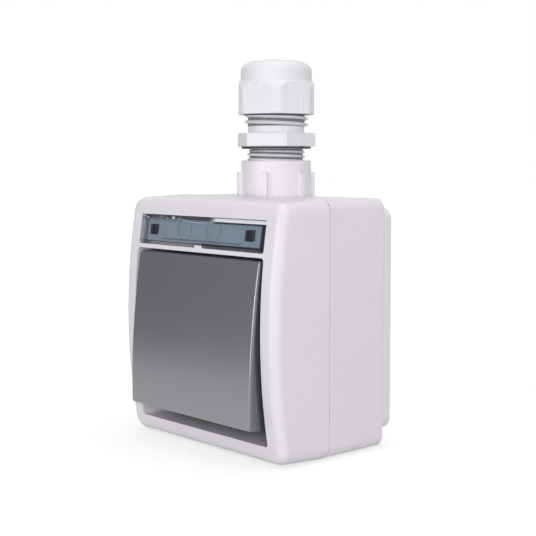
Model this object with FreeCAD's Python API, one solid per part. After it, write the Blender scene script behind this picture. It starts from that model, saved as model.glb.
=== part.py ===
import FreeCAD, Part
import math
import os

# Surface-mounted rocker switch for outdoors, with a label window and a cable gland on top.
# Millimetres. The origin is on the wall face behind the middle of the rear box, +X to the right
# seen from the front, the front looks along -Y, +Z is up.

V = FreeCAD.Vector
PARTS = "parts"

# How far a cutter runs past what it cuts, and how far a joined piece sinks into its carrier
OVERRUN = 1.0
SINK = 0.5
FRONT_OVERRUN = 5.0

# Rear box
BOX_WIDTH = 78.8
BOX_HEIGHT = 82.8
BOX_CORNER = 3.6
BOX_DEPTH = 25.1
BOX_WALL = 2.4
BOX_REAR_EDGE = 1.0
BOX_FRONT_EDGE = 0.4
PLINTH_DEPTH = 4.5
PLINTH_SIDE_INSET = 1.3
PLINTH_TOP_INSET = 3.2
PLINTH_BOTTOM_INSET = 5.0
PLINTH_CORNER = 4.4

# Wall screw holes through the rear wall
WALL_HOLE_RADIUS = 2.25
WALL_HOLE_INSET_X = 14.4
WALL_HOLE_INSET_Z = 14.4
WALL_HOLE_PAD_RADIUS = 4.6
WALL_HOLE_PAD_HEIGHT = 0.8

# Front cover
COVER_OVERHANG = 0.35
COVER_CORNER = 4.6
COVER_WALL = 2.2
COVER_DEPTH = 23.0
COVER_DRAFT = 0.55
COVER_END_DRAFT = 1.1
FRONT_ARC_RADIUS = 200.0
FRONT_EDGE_RADIUS = 3.2
SEAM_GAP = 0.8

# Gasket between the box rim and the cover
GASKET_THICKNESS = 1.2
GASKET_WIDTH = 1.4
GASKET_SET_IN = 0.9
GASKET_REBATE_CLEARANCE = 0.2
RIM_LIP_WIDTH = 1.2

# Rocker opening in the cover and the collar round it
OPENING_SIDE_MARGIN = 6.7
OPENING_TOP_MARGIN = 17.6
OPENING_BOTTOM_MARGIN = 6.0
OPENING_CORNER = 1.2
COLLAR_WALL = 1.6

# Label window above the rocker
CROSSBAR_HEIGHT = 1.4
TAB_CENTRE_X = 0.1
TAB_WIDTH = 3.6
TAB_HEIGHT = 0.85
NOTCH_CENTRE_X = -0.45
NOTCH_WIDTH = 5.2
NOTCH_HEIGHT = 1.15
WINDOW_END_INSET = 0.3
WINDOW_HEIGHT = 10.2
WINDOW_CORNER = 0.8
WINDOW_CLEARANCE = 0.22
WINDOW_THICKNESS = 0.9
WINDOW_RIM = 0.8
WINDOW_EDGE = 0.25
WINDOW_BEVEL_HEIGHT = 0.9
WINDOW_BEVEL_DEPTH = 0.7
TRAY_DEPTH = 3.2
TRAY_FLOOR = 1.4
LABEL_THICKNESS = 0.3
LABEL_GAP = 0.1
LABEL_END_MARGIN = 3.1
LABEL_EDGE_MARGIN = 1.35
LABEL_PAD_BORDER = 0.15
LATCH_HOLE_SIZE = 3.6
LATCH_HOLE_INSET = 7.4
LATCH_WIDTH = 2.6
LATCH_THICKNESS = 1.0
LATCH_BARB = 0.55
LATCH_BARB_LENGTH = 1.1
LATCH_GAP = 0.1
SCALLOP_RADIUS = 63.0
SCALLOP_DROP = 1.9
SCALLOP_LEAN = 0.59

# Rocker, with its face centred on the pivot
PIVOT_DEPTH = 9.4
PIVOT_RAISE = 1.5
REST_TILT = 4.5
ROCKER_SIDE_GAP = 1.3
ROCKER_END_GAP = 3.4
ROCKER_FACE_RISE = 11.6
ROCKER_ARC_RADIUS = 275.0
ROCKER_SKIRT_LENGTH = 9.4
ROCKER_END_DRAFT = 1.0
ROCKER_WALL = 1.8
ROCKER_EDGE = 0.8
ROCKER_RIB = 1.4
ROCKER_CORNER = 0.9
ROCKER_RIB_PLACE = 0.75
CLIP_HALF_WIDTH = 5.0
CLIP_GAP = 0.1
CLIP_HOOK_REACH = 0.7
CLIP_HOOK_DEPTH = 1.2

# Cradle that the rocker snaps on
CRADLE_SIDE_INSET = 1.6
CRADLE_END_INSET = 6.2
CRADLE_FACE_RISE = 6.2
CRADLE_THICKNESS = 2.0
CRADLE_CLIP = 1.4
CRADLE_CORNER = 1.5
LUG_THICKNESS = 2.5
LUG_RADIUS = 3.0
PIN_RADIUS = 1.5
PIN_CLEARANCE = 0.05
PLUNGER_TUBE_RADIUS = 4.0
PLUNGER_TUBE_REACH = 5.2
PLUNGER_RADIUS = 2.1
PLUNGER_CLEARANCE = 0.08
PLUNGER_TIP_REACH = 14.3
PLUNGER_TIP_RADIUS = 1.4
PLUNGER_HEAD_LENGTH = 5.0
PLUNGER_SHOULDER = 1.5
SPRING_WIRE_RADIUS = 0.2
SPRING_TURNS = 3.5
SPRING_WIRE_SIDES = 6
SPRING_END_GAP = 0.02

# Switch base and its lid
BASE_SIDE_INSET = 11.7
BASE_END_INSET = 5.2
BASE_FRONT_SET = 10.0
BASE_FLOOR_DEPTH = 12.4
BASE_WALL = 2.0
BASE_CORNER = 1.5
FLANGE_CORNER = 2.0
BASE_FLANGE = 3.2
BASE_FLANGE_THICKNESS = 1.6
EAR_THICKNESS = 2.4
EAR_RADIUS = 4.2
EAR_GAP = 0.3
LID_THICKNESS = 1.8
LID_CLEARANCE = 0.2
LID_SLOT_HALF_WIDTH = 4.0
LID_SLOT_HALF_LENGTH = 5.0
CHAMBER_FLOOR_SET = 3.7
DRIVER_HOLE_RADIUS = 2.9

# Contacts
LEVER_GAP = 0.4
LEVER_THICKNESS = 1.2
LEVER_SHARE = 4 / 7
LEVER_HALF_WIDTH = 3.0
LEVER_TILT = 4.0
RIVET_INSET = 2.0
RIVET_RADIUS = 1.5
RIVET_HEIGHT = 1.0
CONTACT_GAP = 0.1
STRIP_THICKNESS = 0.8
STRIP_HALF_WIDTH = 3.0
COMMON_STRIP_INSET = 0.5
FULCRUM_GAP = 0.05
KNIFE_HALF_WIDTH = 0.9
KNIFE_HEIGHT = 1.2
CONTACT_PAD_MARGIN = 2.0
RIVET_SEAT = 0.2

# Terminals
CLAMP_INSET_X = 6.5
CLAMP_INSET_Z = 7.4
CLAMP_SIZE = 6.8
CLAMP_DEPTH = 7.4
CLAMP_POCKET_CLEARANCE = 0.15
WIRE_HOLE_RADIUS = 1.5
WIRE_FUNNEL_RADIUS = 1.2
WIRE_HOLE_DEPTH = 3.0
CLAMP_RISE = 1.0
CLAMP_FLOOR = 1.5
TERMINAL_SCREW_RADIUS = 1.45
TERMINAL_HEAD_RADIUS = 2.3
TERMINAL_HEAD_HEIGHT = 1.8
TERMINAL_SCREW_CLEARANCE = 0.05
TERMINAL_SLOT_WIDTH = 0.7
TERMINAL_SLOT_DEPTH = 0.7
TERMINAL_SCREW_TIP_GAP = 1.7

# Support frame, its seal and its screws
SUPPORT_THICKNESS = 1.0
SUPPORT_MARGIN = 0.1
SUPPORT_HOLE_CLEARANCE = 1.0
SUPPORT_CORNER = 2.5
POST_INSET = 4.2
POST_RADIUS = 3.6
POST_PILOT_RADIUS = 1.5
POST_WEB_THICKNESS = 1.6
SCREW_SHANK_RADIUS = 1.45
SCREW_HOLE_RADIUS = 2.0
SCREW_HEAD_RADIUS = 2.9
SCREW_HEAD_HEIGHT = 2.0
SCREW_LENGTH = 10.0
SCREW_HEAD_EDGE = 0.7
SCREW_CROSS_LENGTH = 4.0
SCREW_CROSS_WIDTH = 0.8
SCREW_CROSS_DEPTH = 1.0
SEAL_THICKNESS = 1.2
SEAL_LIP = 0.6

# Arms that hold the cover on the box
ARM_THICKNESS = 1.2
ARM_WIDTH = 7.0
ARM_INSET_Z = 23.4
ARM_WALL_GAP = 0.6
ARM_HOOK = 0.45
ARM_REACH = 5.6
CATCH_HEIGHT = 0.5
CATCH_LENGTH = 1.2
CATCH_GAP = 0.1
ARM_ROOT = 3.0
ARM_SHOULDER_GAP = 0.3

# Cable gland on top, on its own upright axis
GLAND_SET_BACK = 0.05
SOCKET_RADIUS = 12.0
SOCKET_HEIGHT = 12.3
SOCKET_RIB_HEIGHT = 8.8
SOCKET_RIB_REACH = 1.5
SOCKET_RIB_WIDTH = 1.9
SOCKET_RIB_COUNT = 6
SOCKET_CHAMFER = 0.4
GLAND_THREAD_RADIUS = 9.95
GLAND_THREAD_CLEARANCE = 0.05
GLAND_THREAD_DEPTH = 9.0
GLAND_THREAD_RUN_OUT = 1.0
GLAND_EXPOSED_THREAD = 4.0
SOCKET_FLOOR_RADIUS = 8.2
GLAND_BORE_RADIUS = 7.2
WASHER_RADIUS = 11.9
WASHER_THICKNESS = 0.7
WASHER_CLEARANCE = 0.05
FLANGE_ACROSS_FLATS = 24.0
FLANGE_HEIGHT = 4.6
FLANGE_CHAMFER = 0.4
FLANGE_TURN = 2.1
NECK_RADIUS = 9.6
NECK_HEIGHT = 2.3
TOP_THREAD_RADIUS = 11.05
TOP_THREAD_HEIGHT = 10.4
TOP_THREAD_SHOWN = 4.0
NUT_THREAD_CLEARANCE = 0.07
COLLET_HEIGHT = 5.0
COLLET_TIP_RADIUS = 9.4
COLLET_ROOT_RADIUS = 10.2
COLLET_SLOTS = 8
COLLET_SLOT_WIDTH = 1.2
NUT_ACROSS_FLATS = 25.6
NUT_CORNER_RADIUS = 13.9
NUT_HEIGHT = 11.2
NUT_CHAMFER_DROP = 2.0
NUT_TURN = 47.8
NUT_CHAMFER_LAND = 0.3
DOME_RADIUS = 12.15
DOME_HEIGHT = 6.8
DOME_SHOULDER = 3.6
DOME_SHOULDER_RUN = 5.0
DOME_FULLNESS = 0.56
DOME_WALL = 2.4
DOME_CONE_DROP = 0.8
NUT_THREAD_OVER = 1.2
DOME_HOLE_RADIUS = 6.9
SEAL_BORE_RADIUS = 5.4
SEAL_WALL_CLEARANCE = 0.05
COLLET_WALL = 1.5

# Places that follow from the sizes
BOX_BACK_Y = -PLINTH_DEPTH
RIM_Y = BOX_BACK_Y - BOX_DEPTH
BOX_HALF_W = BOX_WIDTH / 2
BOX_HALF_H = BOX_HEIGHT / 2
COVER_HALF_W = BOX_HALF_W + COVER_OVERHANG
COVER_HALF_H = BOX_HALF_H + COVER_OVERHANG
COVER_REAR_Y = RIM_Y - SEAM_GAP
CROWN_Y = COVER_REAR_Y - COVER_DEPTH
GASKET_FRONT_Y = RIM_Y - GASKET_THICKNESS
OPENING_HALF_WIDTH = BOX_HALF_W - OPENING_SIDE_MARGIN
OPENING_TOP = BOX_HALF_H - OPENING_TOP_MARGIN
OPENING_BOTTOM = OPENING_BOTTOM_MARGIN - BOX_HALF_H
WINDOW_HALF_WIDTH = OPENING_HALF_WIDTH - WINDOW_END_INSET
WINDOW_BOTTOM = OPENING_TOP + CROSSBAR_HEIGHT
WINDOW_TOP = WINDOW_BOTTOM + WINDOW_HEIGHT
WINDOW_MID_Z = (WINDOW_BOTTOM + WINDOW_TOP) / 2
LATCH_HOLE_OFFSET = WINDOW_HALF_WIDTH - LATCH_HOLE_INSET
LABEL_DEPTH = WINDOW_THICKNESS + LABEL_GAP
PIVOT_Y = CROWN_Y + PIVOT_DEPTH
PIVOT_Z = (OPENING_TOP + OPENING_BOTTOM) / 2 + PIVOT_RAISE
ROCKER_HALF_W = OPENING_HALF_WIDTH - ROCKER_SIDE_GAP
ROCKER_HALF_LENGTH = (OPENING_TOP - OPENING_BOTTOM) / 2 - ROCKER_END_GAP
SUPPORT_REAR_Y = RIM_Y + SUPPORT_THICKNESS
SUPPORT_HALF_W = OPENING_HALF_WIDTH + COLLAR_WALL - SUPPORT_MARGIN
SUPPORT_BOTTOM = OPENING_BOTTOM - COLLAR_WALL + SUPPORT_MARGIN
SUPPORT_TOP = OPENING_TOP + COLLAR_WALL - SUPPORT_MARGIN
SEAL_FRONT_Y = RIM_Y - SEAL_THICKNESS
PLINTH_TOP = BOX_HALF_H - PLINTH_TOP_INSET
PLINTH_BOTTOM = -BOX_HALF_H + PLINTH_BOTTOM_INSET
PLINTH_HALF_W = BOX_HALF_W - PLINTH_SIDE_INSET
FLOOR_Y = -BOX_WALL
BEYOND_Y = CROWN_Y - FRONT_OVERRUN
BASE_HALF_WIDTH = OPENING_HALF_WIDTH - BASE_SIDE_INSET
BASE_HALF_LENGTH = ROCKER_HALF_LENGTH - BASE_END_INSET
EAR_OUTER_X = BASE_HALF_WIDTH
EAR_INNER_X = EAR_OUTER_X - EAR_THICKNESS
CRADLE_HALF_WIDTH = EAR_INNER_X - CRADLE_SIDE_INSET
CRADLE_HALF_LENGTH = ROCKER_HALF_LENGTH - CRADLE_END_INSET
LEVER_FRONT_Y = PIVOT_Y + PLUNGER_TIP_REACH + LEVER_GAP
LEVER_HALF_LENGTH = BASE_HALF_LENGTH * LEVER_SHARE
RIVET_OFFSET = LEVER_HALF_LENGTH - RIVET_INSET
FULCRUM_Y = LEVER_FRONT_Y + LEVER_THICKNESS
BASE_FRONT_Y = PIVOT_Y + BASE_FRONT_SET
CHAMBER_FLOOR_Y = FULCRUM_Y + CHAMBER_FLOOR_SET
BASE_BACK_Y = CHAMBER_FLOOR_Y + BASE_FLOOR_DEPTH
CLAMP_OFFSET_X = BASE_HALF_WIDTH - CLAMP_INSET_X
CLAMP_OFFSET_Z = BASE_HALF_LENGTH - CLAMP_INSET_Z
POST_OFFSET = OPENING_HALF_WIDTH - POST_INSET
ARM_OFFSET_Z = BOX_HALF_H - ARM_INSET_Z
GLAND_Y = BOX_BACK_Y - BOX_DEPTH / 2 + GLAND_SET_BACK
SOCKET_TOP = BOX_HALF_H + SOCKET_HEIGHT
WASHER_BOTTOM = SOCKET_TOP + GLAND_EXPOSED_THREAD
FLANGE_BOTTOM = WASHER_BOTTOM + WASHER_THICKNESS
FLANGE_TOP = FLANGE_BOTTOM + FLANGE_HEIGHT
NECK_TOP = FLANGE_TOP + NECK_HEIGHT
TOP_THREAD_TOP = NECK_TOP + TOP_THREAD_HEIGHT
NUT_BOTTOM = NECK_TOP + TOP_THREAD_SHOWN
NUT_TOP = NUT_BOTTOM + NUT_HEIGHT
DOME_TOP = NUT_TOP + DOME_HEIGHT
COLLET_TOP = TOP_THREAD_TOP + COLLET_HEIGHT
SEAL_SEAT_Z = NECK_TOP + TOP_THREAD_HEIGHT / 2


# Helpers
def slab(x0, x1, y0, y1, z0, z1):
    return Part.makeBox(x1 - x0, y1 - y0, z1 - z0, V(x0, y0, z0))


def outline(half_w, z0, z1, corner, y):
    """Rounded rectangle in the plane at y, as one closed wire."""
    r = corner
    s = r * math.sqrt(0.5)
    lines = []
    corners = [(half_w, z1, 1, 1), (-half_w, z1, -1, 1), (-half_w, z0, -1, -1), (half_w, z0, 1, -1)]
    arcs = []
    for x, z, sx, sz in corners:
        cx, cz = x - sx * r, z - sz * r
        on_side = V(cx + sx * r, y, cz)
        on_end = V(cx, y, cz + sz * r)
        middle = V(cx + sx * s, y, cz + sz * s)
        first, last = (on_side, on_end) if sx * sz > 0 else (on_end, on_side)
        arcs.append((first, middle, last))
    edges = []
    for i, (first, middle, last) in enumerate(arcs):
        edges.append(Part.Arc(first, middle, last).toShape())
        following = arcs[(i + 1) % len(arcs)][0]
        edges.append(Part.LineSegment(last, following).toShape())
    return Part.Wire(edges)


def prism(half_w, z0, z1, corner, y0, y1):
    return Part.Face(outline(half_w, z0, z1, corner, y0)).extrude(V(0, y1 - y0, 0))


def drafted(half_w, half_h, corner, y0, y1):
    """Block whose sides and ends lean in towards the front, each by the cover's draft."""
    share = (y0 - y1) / COVER_DEPTH
    end = half_h - COVER_END_DRAFT * share
    rear = outline(half_w, -half_h, half_h, corner, y0)
    front = outline(half_w - COVER_DRAFT * share, -end, end, corner, y1)
    return Part.makeLoft([rear, front], True, True)


def rod_y(radius, x, z, y0, y1):
    return Part.makeCylinder(radius, y1 - y0, V(x, y0, z), V(0, 1, 0))


def rod_x(radius, y, z, x0, x1):
    return Part.makeCylinder(radius, x1 - x0, V(x0, y, z), V(1, 0, 0))


def rod_z(radius, z0, z1):
    return Part.makeCylinder(radius, z1 - z0, V(0, GLAND_Y, z0))


def crown(radius_less):
    """Cylinder across the width whose front is the arc of the cover's face, set back by a depth."""
    radius = FRONT_ARC_RADIUS - radius_less
    return rod_x(radius, CROWN_Y + FRONT_ARC_RADIUS, 0.0, -2 * BOX_WIDTH, 2 * BOX_WIDTH)


def hexagon(across_flats, z0, z1, turn):
    radius = across_flats / math.sqrt(3)
    corners = [math.radians(turn + 30 + 60 * i) for i in range(7)]
    points = [V(radius * math.cos(a), GLAND_Y + radius * math.sin(a), z0) for a in corners]
    return Part.Face(Part.makePolygon(points)).extrude(V(0, 0, z1 - z0))


def turned(profile):
    """Solid of revolution about the gland's axis. Each item is a line or a curve's four poles."""
    edges = []
    for item in profile:
        points = [V(r, GLAND_Y, z) for r, z in item]
        if len(points) == 2:
            edges.append(Part.LineSegment(*points).toShape())
        else:
            curve = Part.BezierCurve()
            curve.setPoles(points)
            edges.append(curve.toShape())
    return Part.Face(Part.Wire(edges)).revolve(V(0, GLAND_Y, 0), V(0, 0, 1), 360)


def fuse(first, *others):
    return first.multiFuse(list(others)).removeSplitter()


def tilted(shape, degrees):
    """The shape turned about the rocker's pivot."""
    turned_shape = shape.copy()
    turned_shape.rotate(V(0, PIVOT_Y, PIVOT_Z), V(1, 0, 0), degrees)
    return turned_shape


def save(name, shape):
    solids = shape.Solids
    whole = solids[0] if len(solids) == 1 else Part.makeCompound(solids)
    whole.exportStep(os.path.join(PARTS, name + ".step"))
    print("%-22s solids %d valid %s volume %.1f" % (name, len(solids), whole.isValid(), whole.Volume))


# Rear box
def rib_ring():
    """The upright ribs round the gland socket, their tops sloped back to the socket."""
    ribs = []
    for i in range(SOCKET_RIB_COUNT):
        reach = SOCKET_RADIUS + SOCKET_RIB_REACH
        z1 = BOX_HALF_H + SOCKET_RIB_HEIGHT
        base_z = BOX_HALF_H - BOX_WALL / 2
        inner = SOCKET_RADIUS - BOX_WALL / 2
        side = [(inner, base_z), (reach, base_z), (reach, z1 - SOCKET_RIB_REACH / 2), (inner, z1)]
        points = [V(r, -SOCKET_RIB_WIDTH / 2, z) for r, z in side]
        rib = Part.Face(Part.makePolygon(points + [points[0]])).extrude(V(0, SOCKET_RIB_WIDTH, 0))
        rib.rotate(V(0, 0, 0), V(0, 0, 1), 360 / SOCKET_RIB_COUNT * i)
        rib.translate(V(0, GLAND_Y, 0))
        ribs.append(rib)
    return ribs


def wall_hole_places():
    half_x, half_z = BOX_HALF_W - WALL_HOLE_INSET_X, BOX_HALF_H - WALL_HOLE_INSET_Z
    return [(sx * half_x, sz * half_z) for sx in (-1, 1) for sz in (-1, 1)]


def cover_catches():
    """Small ribs inside the side walls that the cover's hooks snap behind."""
    catches = []
    inner_x = BOX_HALF_W - BOX_WALL
    y0 = RIM_Y + ARM_REACH - SEAM_GAP - CATCH_LENGTH
    for sx in (-1, 1):
        for sz in (-1, 1):
            xs = sorted([sx * (inner_x - CATCH_HEIGHT), sx * (inner_x + BOX_WALL / 2)])
            z0 = sz * ARM_OFFSET_Z - ARM_WIDTH / 2
            catches.append(slab(xs[0], xs[1], y0 - CATCH_GAP, y0 - CATCH_GAP + CATCH_LENGTH,
                                z0, z0 + ARM_WIDTH))
    return catches


def make_back_box():
    shell = prism(BOX_HALF_W, -BOX_HALF_H, BOX_HALF_H, BOX_CORNER, RIM_Y, BOX_BACK_Y)
    rear_edges = [e for e in shell.Edges
                  if all(abs(v.Y - BOX_BACK_Y) < 1e-6 for v in e.Vertexes)]
    shell = shell.makeFillet(BOX_REAR_EDGE, rear_edges)
    rim_edges = [e for e in shell.Edges if all(abs(v.Y - RIM_Y) < 1e-6 for v in e.Vertexes)]
    shell = shell.makeFillet(BOX_FRONT_EDGE, rim_edges)
    plinth = prism(PLINTH_HALF_W, PLINTH_BOTTOM, PLINTH_TOP, PLINTH_CORNER, BOX_BACK_Y - BOX_WALL, 0)
    cavity = prism(BOX_HALF_W - BOX_WALL, -BOX_HALF_H + BOX_WALL, BOX_HALF_H - BOX_WALL,
                   BOX_CORNER - BOX_WALL / 2, RIM_Y - OVERRUN, BOX_BACK_Y - BOX_WALL)
    plinth_cavity = prism(PLINTH_HALF_W - BOX_WALL, PLINTH_BOTTOM + BOX_WALL, PLINTH_TOP - BOX_WALL,
                          PLINTH_CORNER - BOX_WALL / 2, BOX_BACK_Y - 2 * BOX_WALL, FLOOR_Y)
    socket = rod_z(SOCKET_RADIUS, BOX_HALF_H - BOX_WALL / 2, SOCKET_TOP)
    socket = socket.makeChamfer(SOCKET_CHAMFER, [socket.Edges[0]])
    body = fuse(shell, plinth, socket, *rib_ring())
    body = body.cut(cavity).cut(plinth_cavity)
    added = []
    for sx in (-1, 1):
        added.append(rod_y(POST_RADIUS, sx * POST_OFFSET, PIVOT_Z, SUPPORT_REAR_Y, FLOOR_Y))
        xs = sorted([sx * POST_OFFSET, sx * (BOX_HALF_W - BOX_WALL / 2)])
        web_top = SUPPORT_REAR_Y + SUPPORT_THICKNESS
        added.append(slab(xs[0], xs[1], web_top, FLOOR_Y, PIVOT_Z - POST_WEB_THICKNESS / 2,
                          PIVOT_Z + POST_WEB_THICKNESS / 2))
    for x, z in wall_hole_places():
        added.append(rod_y(WALL_HOLE_PAD_RADIUS, x, z, FLOOR_Y - WALL_HOLE_PAD_HEIGHT, FLOOR_Y))
    plate_zone = prism(PLINTH_HALF_W - BOX_WALL / 2, PLINTH_BOTTOM + BOX_WALL / 2,
                       PLINTH_TOP - BOX_WALL / 2, PLINTH_CORNER, RIM_Y, 0)
    box_zone = prism(BOX_HALF_W - BOX_WALL / 2, -BOX_HALF_H + BOX_WALL / 2, BOX_HALF_H - BOX_WALL / 2,
                     BOX_CORNER, RIM_Y, BOX_BACK_Y - BOX_WALL / 2)
    zone = plate_zone.fuse(box_zone)
    added = [piece.common(zone) for piece in added]
    body = fuse(body, *(added + cover_catches()))
    thread_floor = SOCKET_TOP - GLAND_THREAD_DEPTH - GLAND_THREAD_RUN_OUT
    body = body.cut(rod_z(GLAND_THREAD_RADIUS + GLAND_THREAD_CLEARANCE, thread_floor,
                          SOCKET_TOP + OVERRUN))
    body = body.cut(rod_z(SOCKET_FLOOR_RADIUS, BOX_HALF_H - 2 * BOX_WALL, SOCKET_TOP + OVERRUN))
    for sx in (-1, 1):
        body = body.cut(rod_y(POST_PILOT_RADIUS, sx * POST_OFFSET, PIVOT_Z,
                              SUPPORT_REAR_Y - OVERRUN, SUPPORT_REAR_Y + SCREW_LENGTH + OVERRUN))
    for x, z in wall_hole_places():
        body = body.cut(rod_y(WALL_HOLE_RADIUS, x, z, FLOOR_Y - 2 * OVERRUN, OVERRUN))
    return body.removeSplitter()


def make_gasket():
    half_w, half_h = BOX_HALF_W - GASKET_SET_IN, BOX_HALF_H - GASKET_SET_IN
    inner_w, inner_h = half_w - GASKET_WIDTH, half_h - GASKET_WIDTH
    corner = BOX_CORNER - GASKET_SET_IN
    ring = prism(half_w, -half_h, half_h, corner, GASKET_FRONT_Y, RIM_Y)
    hole = prism(inner_w, -inner_h, inner_h, corner - GASKET_WIDTH / 2, GASKET_FRONT_Y - OVERRUN,
                 RIM_Y + OVERRUN)
    return ring.cut(hole)


# Front cover
def face_y(z):
    """Where the cover's curved face lies at a height."""
    return CROWN_Y + FRONT_ARC_RADIUS - math.sqrt(FRONT_ARC_RADIUS ** 2 - z ** 2)


def face_slice(half_w, z0, z1, corner, near, far):
    """Rounded block that follows the cover's face, between two depths behind it."""
    block = prism(half_w, z0, z1, corner, BEYOND_Y, COVER_REAR_Y)
    return block.common(crown(near)).cut(crown(far))


def tray_block(extra, near, far):
    """A slice with the label window's outline, larger by an extra all round."""
    return face_slice(WINDOW_HALF_WIDTH + extra, WINDOW_BOTTOM - extra, WINDOW_TOP + extra,
                      WINDOW_CORNER + max(extra, 0), near, far)


def label_block(extra, near, far):
    """A slice with the card's outline, larger by an extra all round."""
    margin = LABEL_EDGE_MARGIN - extra
    return face_slice(WINDOW_HALF_WIDTH - LABEL_END_MARGIN + extra, WINDOW_BOTTOM + margin,
                      WINDOW_TOP - margin, WINDOW_CORNER / 2, near, far)


def crossbar_block(centre_x, width, height):
    """A block at the crossbar's middle: the tab in the tray, or the window's notch round it."""
    return slab(centre_x - width / 2, centre_x + width / 2, BEYOND_Y - OVERRUN, COVER_REAR_Y,
                WINDOW_BOTTOM - OVERRUN, WINDOW_BOTTOM + height)


def latch_holes():
    """The square holes in the tray's floor and in the card that the window's hooks go through."""
    half = LATCH_HOLE_SIZE / 2
    return [slab(x - half, x + half, BEYOND_Y, COVER_REAR_Y, WINDOW_MID_Z - half, WINDOW_MID_Z + half)
            for x in (-LATCH_HOLE_OFFSET, LATCH_HOLE_OFFSET)]


def cover_arms():
    """Arms behind the cover's rim, each with a hook that snaps behind a catch in the box."""
    arms = []
    outer = BOX_HALF_W - BOX_WALL - ARM_WALL_GAP
    inner = outer - ARM_THICKNESS
    tip_y = COVER_REAR_Y + ARM_REACH + CATCH_LENGTH + CATCH_GAP
    root_y = GASKET_FRONT_Y - ARM_ROOT
    root_x = COVER_HALF_W - COVER_WALL / 2 - COVER_DRAFT
    shoulder_y = GASKET_FRONT_Y - ARM_SHOULDER_GAP
    for sx in (-1, 1):
        for sz in (-1, 1):
            z0 = sz * ARM_OFFSET_Z - ARM_WIDTH / 2
            z1 = z0 + ARM_WIDTH
            side = [(inner, root_y), (root_x, root_y), (root_x, shoulder_y), (outer, shoulder_y),
                    (outer, tip_y - CATCH_LENGTH), (outer + ARM_HOOK, tip_y - CATCH_LENGTH),
                    (outer, tip_y), (inner, tip_y)]
            points = [V(sx * x, y, z0) for x, y in side]
            arm = Part.Face(Part.makePolygon(points + [points[0]])).extrude(V(0, 0, z1 - z0))
            arms.append(arm)
    return arms


def make_front_cover():
    outer = drafted(COVER_HALF_W, COVER_HALF_H, COVER_CORNER, COVER_REAR_Y, BEYOND_Y)
    outer = outer.common(crown(0))
    face = [f for f in outer.Faces if f.Surface.TypeId == "Part::GeomCylinder"
            and abs(f.Surface.Radius - FRONT_ARC_RADIUS) < 1e-6][0]
    solid_front = outer.makeFillet(FRONT_EDGE_RADIUS, face.OuterWire.Edges)
    inner = drafted(COVER_HALF_W - COVER_WALL, COVER_HALF_H - COVER_WALL,
                    COVER_CORNER - COVER_WALL / 2, COVER_REAR_Y, BEYOND_Y)
    inner = inner.common(crown(COVER_WALL))
    shell = solid_front.cut(inner)
    collar = prism(OPENING_HALF_WIDTH + COLLAR_WALL, OPENING_BOTTOM - COLLAR_WALL,
                   OPENING_TOP + CROSSBAR_HEIGHT, OPENING_CORNER + COLLAR_WALL, BEYOND_Y, SEAL_FRONT_Y)
    collar = collar.common(crown(COVER_WALL / 2))
    tray = tray_block(COLLAR_WALL, COVER_WALL / 2, TRAY_DEPTH + TRAY_FLOOR)
    body = fuse(shell, collar, tray, *cover_arms())
    opening = prism(OPENING_HALF_WIDTH, OPENING_BOTTOM, OPENING_TOP, OPENING_CORNER,
                    BEYOND_Y - OVERRUN, COVER_REAR_Y + OVERRUN)
    tab = crossbar_block(TAB_CENTRE_X, TAB_WIDTH, TAB_HEIGHT)
    pad = label_block(LABEL_PAD_BORDER, LABEL_DEPTH + LABEL_THICKNESS, TRAY_DEPTH + OVERRUN)
    tray_space = tray_block(0, -OVERRUN, TRAY_DEPTH).cut(tab).cut(pad)
    body = body.cut(opening).cut(tray_space)
    grow = GASKET_REBATE_CLEARANCE - GASKET_SET_IN
    rebate_ring = prism(BOX_HALF_W + grow, -BOX_HALF_H - grow, BOX_HALF_H + grow, BOX_CORNER + grow,
                        GASKET_FRONT_Y, COVER_REAR_Y + OVERRUN)
    inset = COVER_WALL + RIM_LIP_WIDTH
    core = prism(COVER_HALF_W - inset, -COVER_HALF_H + inset, COVER_HALF_H - inset, BOX_CORNER,
                 GASKET_FRONT_Y - OVERRUN, COVER_REAR_Y + 2 * OVERRUN)
    body = body.cut(rebate_ring.cut(core))
    for hole in latch_holes():
        body = body.cut(hole)
    return body.removeSplitter()


# Label window and the card behind it
def window_bevel():
    """Wedge that bevels the top of the window's face."""
    top = WINDOW_TOP - WINDOW_CLEARANCE
    low = top - WINDOW_BEVEL_HEIGHT
    lean = face_y(top) + WINDOW_BEVEL_DEPTH - face_y(low)
    high = low + 2 * WINDOW_BEVEL_HEIGHT
    side = [(face_y(low), low), (face_y(low) + 2 * lean, high), (BEYOND_Y, high), (BEYOND_Y, low)]
    points = [V(-WINDOW_HALF_WIDTH, y, z) for y, z in side]
    return Part.Face(Part.makePolygon(points + [points[0]])).extrude(V(2 * WINDOW_HALF_WIDTH, 0, 0))


def finger_scallop():
    """Slanting cylinder that hollows the middle of the window's top edge for a fingertip."""
    top = WINDOW_TOP - WINDOW_CLEARANCE
    along = V(0, SCALLOP_LEAN, 1).normalize()
    outward = V(0, -1, SCALLOP_LEAN).normalize()
    depth = SCALLOP_DROP * outward.z
    centre = V(0, face_y(top), top) + outward * (SCALLOP_RADIUS - depth)
    half_length = WINDOW_HEIGHT
    return Part.makeCylinder(SCALLOP_RADIUS, 2 * half_length, centre - along * half_length, along)


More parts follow.
